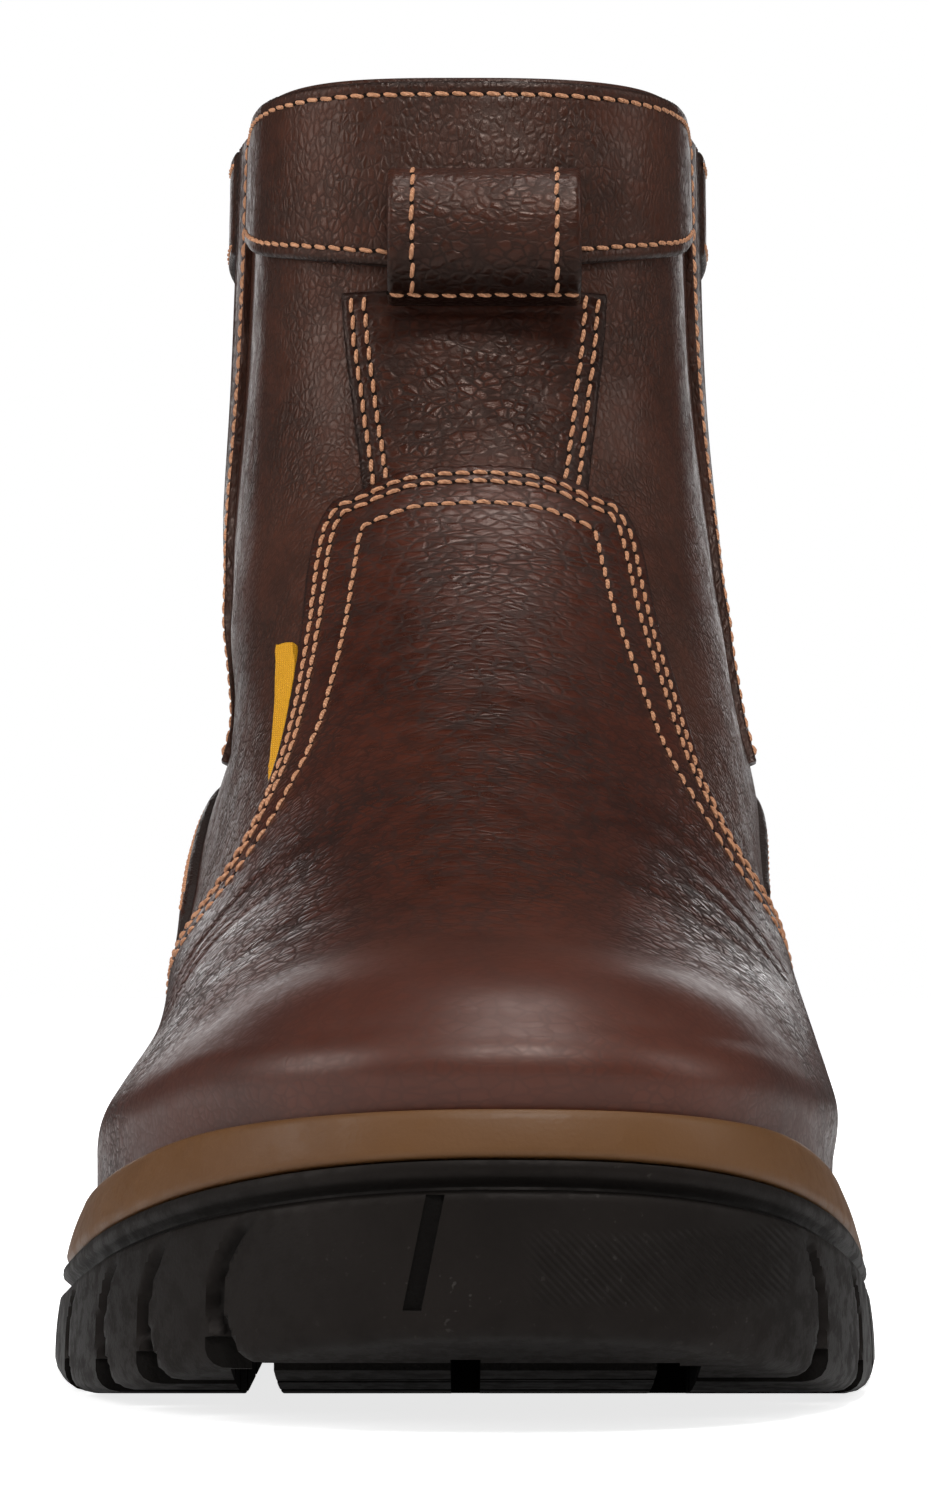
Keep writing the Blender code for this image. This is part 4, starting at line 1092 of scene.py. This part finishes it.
def buildPullLoop():
    look = loopShape
    seatY = upperSurface(look["seatLevel"], 0.0)[1] - leatherThick - 2.0 * gap
    outer = strapProfile(0.0, 0.0)
    inner = strapProfile(look["strap"], 2.0 * look["strap"])
    centre = (outer + inner) / 2
    half = look["width"] / 2
    # columns across the strap, its long edges rounded over
    aside = half * np.sin(np.linspace(-pi / 2, pi / 2, look["columns"]))
    fromEdge = half - np.abs(aside)
    inward = np.clip(1.0 - fromEdge / look["roll"], 0.0, 1.0)
    pull = look["roll"] * (1.0 - np.sqrt(1.0 - inward ** 2)) * look["edgePull"]
    seam = look["seamDepth"] * np.exp(-((fromEdge - look["seamInset"]) / look["seamHalf"]) ** 2)
    slack = look["slack"] * np.sin(aside * look["slackWave"] + look["slackPhase"])
    grids = []
    for profile, sink in ((outer, pull + seam), (inner, pull)):
        moved = profile[None] - unit(profile - centre)[None] * sink[:, None, None]
        y = seatY - moved[..., 0] * (1.0 + slack[:, None] / look["reach"])
        x = np.broadcast_to(look["middle"] + aside[:, None], y.shape)
        grids.append(np.stack((x, y, moved[..., 1]), -1))
    cols, count = grids[0].shape[:2]
    points = np.concatenate([grid.reshape(-1, 3) for grid in grids])
    first = np.arange(count)
    after = (first + 1) % count
    shift = cols * count
    end = (cols - 1) * count
    faces = [gridFaces(cols, count, wrap=True, flip=True), gridFaces(cols, count, shift, wrap=True),
             np.stack((first, after, after + shift, first + shift), -1),
             np.stack((end + after, end + first, end + first + shift, end + after + shift), -1)]
    slots = np.repeat((0, 0, 1, 1), [len(block) for block in faces])
    # painted shade on the strap's lower part, where it rolls under
    under = fadeOut(points[:, 2], look["underside"])
    piece = makePiece("pullLoop", points, faces, [loopLeather, rawEdge], slots, "pull_loop", shade=under)
    turnOutward(piece)
    return grids[0]


loopGrid = buildPullLoop()


def loopRow(sign):
    # sewing line round the strap's outer face beside one long edge
    look = loopShape
    x = look["middle"] + sign * (look["width"] / 2 - look["seamInset"])
    column = int(np.argmin(np.abs(loopGrid[:, 0, 0] - x)))
    front = loopGrid[column, look["backSteps"]:]
    line = front[look["rowStart"]:look["steps"] - look["rowEnd"]]
    normal = unit(np.cross(np.gradient(line, axis=0), (1.0, 0.0, 0.0)))
    facing = np.sign(normal[len(normal) // 2, 1])
    return line, -facing * normal


def loopBaseRow():
    row = loopShape["backSteps"] + loopShape["steps"] - loopShape["baseRow"]
    line = loopGrid[2:-2, row]
    return line, np.tile(loopShape["baseNormal"], (len(line), 1))


def panelRows(panel, edges, trim):
    return [rowInside(panel, edge, offset, trim) for edge in edges for offset in panel["channels"]]


stitchRows = {
    "stitchesVamp": panelRows(vampPanel, ("top",), 3.0),
    "stitchesCounter": panelRows(counterPanel, ("top",), 3.0),
    "stitchesBands": panelRows(bandFront, ("foot", "top"), 1.0) + panelRows(bandBack, ("foot", "top"), 1.0),
    "stitchesStrips": panelRows(stripInner, ("start",), 1.0) + panelRows(stripOuter, ("end",), 1.0),
    "stitchesPull": panelRows(patchPanel, ("start", "end"), 0.5)
    + [loopRow(1.0), loopRow(-1.0), loopBaseRow()],
}
for pieceName, sewnRows in stitchRows.items():
    sewRows(pieceName, sewnRows, threadTan, needleHoleShade)


# Sole pieces: the wall's grooves run on under the boot as slots between the lugs
soleLook = {
    "stations": 400, "wallRows": 18,
    "outerGrooves": (-136.0, -122.5, -109.5, -90.0, -65.0, -38.0, 78.0, 102.0, 126.0),
    "innerGrooves": (-125.0, -105.0, -85.0, -64.0, -44.0, -24.0, 78.0, 102.0, 126.0),
    "grooveHalf": 1.0, "grooveSlope": 0.5, "grooveDepth": 1.9, "grooveStretch": 6.0,
    "grooveBow": 15.0, "bowMiddle": 0.45, "grooveTop": (0.78, 0.2), "grooveLeft": 0.1,
    # rings of the tread's rounded edge: inset, height over the tread
    "treadEdge": ((3.4, 0.0), (2.0, 0.35), (1.1, 1.0), (0.55, 1.9)), "treadEdgeRun": 20.0,
    "wallInset": 0.3, "wallLean": 0.7, "wallFoot": 3.0, "wallTop": 4.6, "wallStart": 0.1,
    # under the rim a groove with painted shade, then the rim's rounded ledge: inset, depth below the rim,
    # painted shade
    "rimRings": (
        (1.2, 4.3, 0.2), (1.8, 3.9, 0.7), (2.5, 3.6, 1.0), (2.7, 3.2, 1.0),
        (2.6, 2.8, 0.9), (2.0, 2.3, 0.5), (1.55, 1.9, 0.1), (1.4, 1.3, 0.0),
        (1.45, 0.6, 0.0), (1.7, 0.15, 0.0), (2.1, 0.0, 0.3), (3.2, 0.0, 1.0),
    ),
    "lugDepth": 4.5, "lugColumn": 27.0, "heelCore": 17.0, "lugAngle": 40.0,
    "barHalf": 1.5, "barEnd": 67.0, "barFloor": -4.0,
    "centreBars": (-112.0, -86.0, -58.0, -32.0), "toeBar": (-138.0, -133.0),
    # slots along the sole: x, width, and the runs between bridges
    "longSlots": ((-27.0, 5.4, ((-134.0, -6.0),)), (0.0, 3.8, ((-140.0, -96.0), (-91.0, -6.0))),
                  (27.0, 5.4, ((-136.0, -96.0), (-91.0, -6.0)))),
}
# Slanted slot in the toe bumper
toeNotch = {"ends": ((-6.6, 16.0), (-3.7, 30.2)), "half": 1.15, "front": -160.0, "deep": -150.3}


def soleStations(count):
    return -soleShape["heelY"] * np.cos(np.linspace(0.0, pi, count))


def roundPairs(count):
    stations = soleStations(count)
    y = np.concatenate((stations, stations[-2:0:-1]))
    side = np.concatenate((np.ones(count), -np.ones(count - 2)))
    return y, side


def plateFaces(count, rings, start=0):
    # closed plate: wrapped side rings plus a floor and a top of strips across the boot
    around = 2 * count - 2
    faces = [gridFaces(rings, around, start, wrap=True)]
    for ring, flip in ((0, True), (rings - 1, False)):
        strip = []
        base = start + ring * around
        for k in range(count - 1):
            a, b = k, k + 1
            c = around - b if b < count - 1 else b
            d = (around - a) % around
            corners = tuple(dict.fromkeys(base + i for i in (a, b, c, d)))    # the ends are triangles
            strip.append(corners[::-1] if flip else corners)
        faces.append(strip)
    return faces


def seatZ(y):
    return np.minimum(rimZ(y) - soleShape["recess"], footbedZ(y) - soleShape["midsoleFloor"] - gap)


def sideGrooves():
    return ((1.0, soleLook["innerGrooves"]), (-1.0, soleLook["outerGrooves"]))


def wallRelief(y, side, heightShare):
    # thin curved grooves in the side wall: their ends lean towards the toe
    look = soleLook
    slope = outlineSlope(y, side, 0.05)
    stretch = np.sqrt(1.0 + np.minimum(slope * slope, look["grooveStretch"]))
    fade = 1.0 - (1.0 - look["grooveLeft"]) * fadeIn(heightShare, look["grooveTop"])
    relief = np.zeros(y.shape)
    for wanted, grooves in sideGrooves():
        for groove in grooves:
            bow = look["grooveBow"] if groove < soleShape["breastY"] else 0.0
            middle = groove - bow * (heightShare - look["bowMiddle"]) ** 2
            offset = np.abs(y - middle) * stretch
            depth = np.clip((look["grooveHalf"] - offset) / look["grooveSlope"] + 1.0, 0.0, 1.0)
            relief += np.where(side == wanted, depth, 0.0) * look["grooveDepth"] * fade
    return np.minimum(relief, look["grooveDepth"])


def lugRoof(y):
    return float(treadZ(np.array(y))) + soleLook["lugDepth"]


def slotBar(xLow, xHigh, yLow, yHigh, pieces=1):
    # bar that cuts a slot into the tread, its roof at the lugs' depth
    points, faces = [], [(0, 1, 2, 3)]
    floorZ = soleLook["barFloor"]
    for y in np.linspace(yLow, yHigh, pieces + 1):
        points += [(xLow, y, floorZ), (xHigh, y, floorZ), (xHigh, y, lugRoof(y)), (xLow, y, lugRoof(y))]
    for k in range(pieces):
        for corner in range(4):
            low = 4 * k + corner
            beside = 4 * k + (corner + 1) % 4
            faces.append((low, low + 4, beside + 4, beside))
    last = 4 * pieces
    faces.append((last + 3, last + 2, last + 1, last))
    return points, faces


def notchBar():
    look = toeNotch
    half, front, deep = look["half"], look["front"], look["deep"]
    points = []
    for x, z in look["ends"]:
        points += [(x - half, front, z), (x + half, front, z), (x + half, deep, z), (x - half, deep, z)]
    sides = [(corner, (corner + 1) % 4, (corner + 1) % 4 + 4, corner + 4) for corner in range(4)]
    return points, [(3, 2, 1, 0), (4, 5, 6, 7)] + sides


def treadBars():
    look = soleLook
    half, column = look["barHalf"], look["lugColumn"]
    bars = []
    for sign, grooves in sideGrooves():
        for groove in grooves:
            inner = look["heelCore"] if groove > soleShape["breastY"] else column
            low, high = sorted((sign * inner, sign * look["barEnd"]))
            bars.append(slotBar(low, high, groove - half, groove + half))
    for groove in look["centreBars"]:
        bars.append(slotBar(-column, column, groove - half, groove + half))
    bars.append(slotBar(-column, column, *look["toeBar"], pieces=4))
    for x, width, runs in look["longSlots"]:
        bars += [slotBar(x - width / 2, x + width / 2, start, end, pieces=12) for start, end in runs]
    return bars + [notchBar()]


def cutTread(piece):
    cutters = bpy.data.collections.new("treadCutters")
    bpy.context.scene.collection.children.link(cutters)
    for barAt, (corners, faces) in enumerate(treadBars()):
        mesh = bpy.data.meshes.new("treadBar")
        mesh.from_pydata((np.array(corners) * mm).tolist(), [], faces)
        for material in piece.data.materials:
            mesh.materials.append(material)
        # the cut faces take the darker rubber: painted shade in the slots
        mesh.polygons.foreach_set("material_index", np.ones(len(faces), dtype=np.int32))
        cutters.objects.link(bpy.data.objects.new("treadBar.%02d" % barAt, mesh))
    cut = piece.modifiers.new("lugs", "BOOLEAN")
    cut.operation = "DIFFERENCE"
    cut.operand_type = "COLLECTION"
    cut.collection = cutters
    cut.solver = "EXACT"
    graph = bpy.context.evaluated_depsgraph_get()
    lugged = bpy.data.meshes.new_from_object(piece.evaluated_get(graph))
    piece.modifiers.clear()
    piece.data = lugged
    for bar in list(cutters.objects):
        bpy.data.objects.remove(bar)
    bpy.data.collections.remove(cutters)
    lugged.shade_smooth()
    lugged.set_sharp_from_angle(angle=radians(soleLook["lugAngle"]))
    print("outsole faces", len(lugged.polygons))


def ringAt(y, side, inset, height):
    # one ring of a sole piece: inset from the outline, height worked out at each point
    x, back = solePoint(y, side, inset)
    return np.stack((x, back, height(back)), -1)


def buildOutsole():
    look = soleLook
    y, side = roundPairs(look["stations"])
    rings, shades = [], []

    # dark: painted shade, deeper where the grooves cut and in the groove under the rim
    def ring(inset, height, dark):
        rings.append(ringAt(y, side, inset, height))
        shades.append(np.broadcast_to(dark, y.shape))

    tread = treadZ(y)
    for inset, above in look["treadEdge"]:
        cut = wallRelief(y, side, np.full(y.shape, above / look["treadEdgeRun"]))
        ring(inset + cut, lambda back: tread + above, cut / look["grooveDepth"])
    for share in np.linspace(0.0, 1.0, look["wallRows"]):
        cut = wallRelief(y, side, np.full(y.shape, look["wallStart"] + (1.0 - look["wallStart"]) * share))
        inset = look["wallInset"] + look["wallLean"] * share ** 2 + cut
        foot = (tread + look["wallFoot"]) * (1.0 - share)
        ring(inset, lambda back: foot + (rimZ(back) - look["wallTop"]) * share, cut / look["grooveDepth"])
    for inset, below, dark in look["rimRings"]:
        ring(inset, lambda back: rimZ(back) - below, dark)
    ring(soleShape["seatInset"], seatZ, 1.0)
    piece = makePiece("outsoleRubber", np.array(rings), plateFaces(look["stations"], len(rings)),
                      [rubberBlack, rubberSlotShade], None, "outsole", shade=np.concatenate(shades))
    cutTread(piece)


bandShape = {
    "stations": 260, "boss": 3.8, "wallRows": 9, "wallEnd": 0.86, "wallReach": 0.7, "wallBend": 0.45,
    # rounded foot and shoulder of the band: inset or step from its top edge, share of its height
    "foot": ((2.4, 0.0), (2.15, 0.02), (1.98, 0.06), (1.9, 0.12)),
    "shoulder": ((0.45, 0.93), (0.18, 0.975), (0.0, 0.995), (-0.35, 1.0)),
}


def buildMidsole():
    look = bandShape
    y, side = roundPairs(look["stations"])
    inset = bandInset(y)
    lip = inset + soleShape["bandLip"]
    rings = []

    def ring(insets, height):
        rings.append(ringAt(y, side, np.broadcast_to(insets, y.shape), height))

    def band(share):
        return lambda back: rimZ(back) + gap + share * (weltZ(back) - rimZ(back) - gap)

    ring(look["boss"], lambda back: seatZ(back) + gap)
    ring(look["boss"], band(0.0))
    for at, share in look["foot"]:
        ring(at, band(share))
    footInset, footEnd = look["foot"][-1]
    for share in np.linspace(footEnd, look["wallEnd"], look["wallRows"])[1:]:
        reach = (share - footEnd) / (look["wallEnd"] - footEnd)
        bent = (1.0 - look["wallBend"]) * reach + look["wallBend"] * reach ** 2
        ring(footInset + (inset - look["wallReach"] - footInset) * bent, band(share))
    for step, share in look["shoulder"]:
        ring(inset - step, band(share))
    ring(lip, band(1.0))
    ring(lip, footbedZ)
    makePiece("midsoleBand", np.array(rings), plateFaces(look["stations"], len(rings)), [bandTan], None,
              "midsole")


# Footbed plate: step in from its edge and height over the sole for each ring
insoleShape = {"stations": 160, "clear": 0.5, "rings": ((0.0, 0.0), (0.0, 2.4), (0.25, 2.8), (0.8, 3.0))}


def buildInsole():
    look = insoleShape
    y, side = roundPairs(look["stations"])
    reach = featherInset(y) + upperLook["wall"] + look["clear"]
    rings = [ringAt(y, side, reach + inward, lambda back: footbedZ(back) + gap + lift)
             for inward, lift in look["rings"]]
    makePiece("insolePlate", np.array(rings), plateFaces(look["stations"], len(rings)), [insoleCloth], None,
              "insole")


buildOutsole()
buildMidsole()
buildInsole()
print("sole built")


# Floor, studio light and camera
floorMesh = bpy.data.meshes.new("floor")
floorMesh.from_pydata(floorLook["corners"], [], [(0, 1, 2, 3)])
floorMesh.materials.append(floorPale)
floor = bpy.data.objects.new("floor", floorMesh)
bpy.context.scene.collection.objects.link(floor)


def softLight(name, place, aim, size, power):
    light = bpy.data.lights.new(name, "AREA")
    light.shape = "RECTANGLE"
    light.size, light.size_y = size
    light.energy = power
    lamp = bpy.data.objects.new(name, light)
    lamp.location = place
    lamp.rotation_euler = (Vector(aim) - Vector(place)).to_track_quat("-Z", "Y").to_euler()
    bpy.context.scene.collection.objects.link(lamp)


# name, place, aim, size, power
lights = (
    ("softTop", (0.10, -0.10, 1.15), (0.0, -0.06, 0.08), (0.30, 0.30), 3.0),
    ("softLeft", (-1.25, -0.45, 0.75), (0.0, 0.0, 0.10), (0.7, 1.0), 10.0),
    ("softRight", (1.30, -0.20, 0.85), (0.0, 0.0, 0.10), (0.5, 1.0), 4.5),
    ("softFront", (0.16, -1.20, 1.36), (0.0, -0.05, 0.08), (0.36, 0.36), 15.0),
    ("softLow", (0.10, -1.50, 0.75), (0.0, 0.0, 0.15), (0.30, 0.30), 0.9),
    ("softBack", (0.0, 1.60, 0.45), (0.0, 0.05, 0.12), (1.2, 0.5), 5.0),
)
for settings in lights:
    softLight(*settings)

# the camera sees white behind the boot, the leather reflects a dim room
roomLook = {"reflected": 0.08, "seen": 1.0}
world = bpy.data.worlds.new("studio")
world.use_nodes = True
worldTree = world.node_tree
backdrop = worldTree.nodes["Background"]
cameraRay = addNode(worldTree, "LightPath").outputs["Is Camera Ray"]
strength = addNode(worldTree, "MapRange", {0: cameraRay, 3: roomLook["reflected"], 4: roomLook["seen"]})
worldTree.links.new(strength.outputs[0], backdrop.inputs["Strength"])
backdrop.inputs["Color"].default_value = (1.0, 1.0, 1.0, 1.0)
bpy.context.scene.world = world
bpy.context.scene.view_settings.view_transform = "Standard"
bpy.context.scene.view_settings.look = "None"

cameraLook = {"place": (0.0, -0.70, 0.06), "tilt": 2.6, "sensor": 36.0, "lens": 106.8, "near": 0.02}
camera = bpy.data.cameras.new("photoCamera")
camera.sensor_width = cameraLook["sensor"]
camera.lens = cameraLook["lens"]
camera.clip_start = cameraLook["near"]
cameraObject = bpy.data.objects.new("photoCamera", camera)
cameraObject.location = cameraLook["place"]
cameraObject.rotation_euler = (radians(90.0 + cameraLook["tilt"]), 0.0, 0.0)    # looks along +Y, a little up
bpy.context.scene.collection.objects.link(cameraObject)
bpy.context.scene.camera = cameraObject
print("floor, lights and camera set")
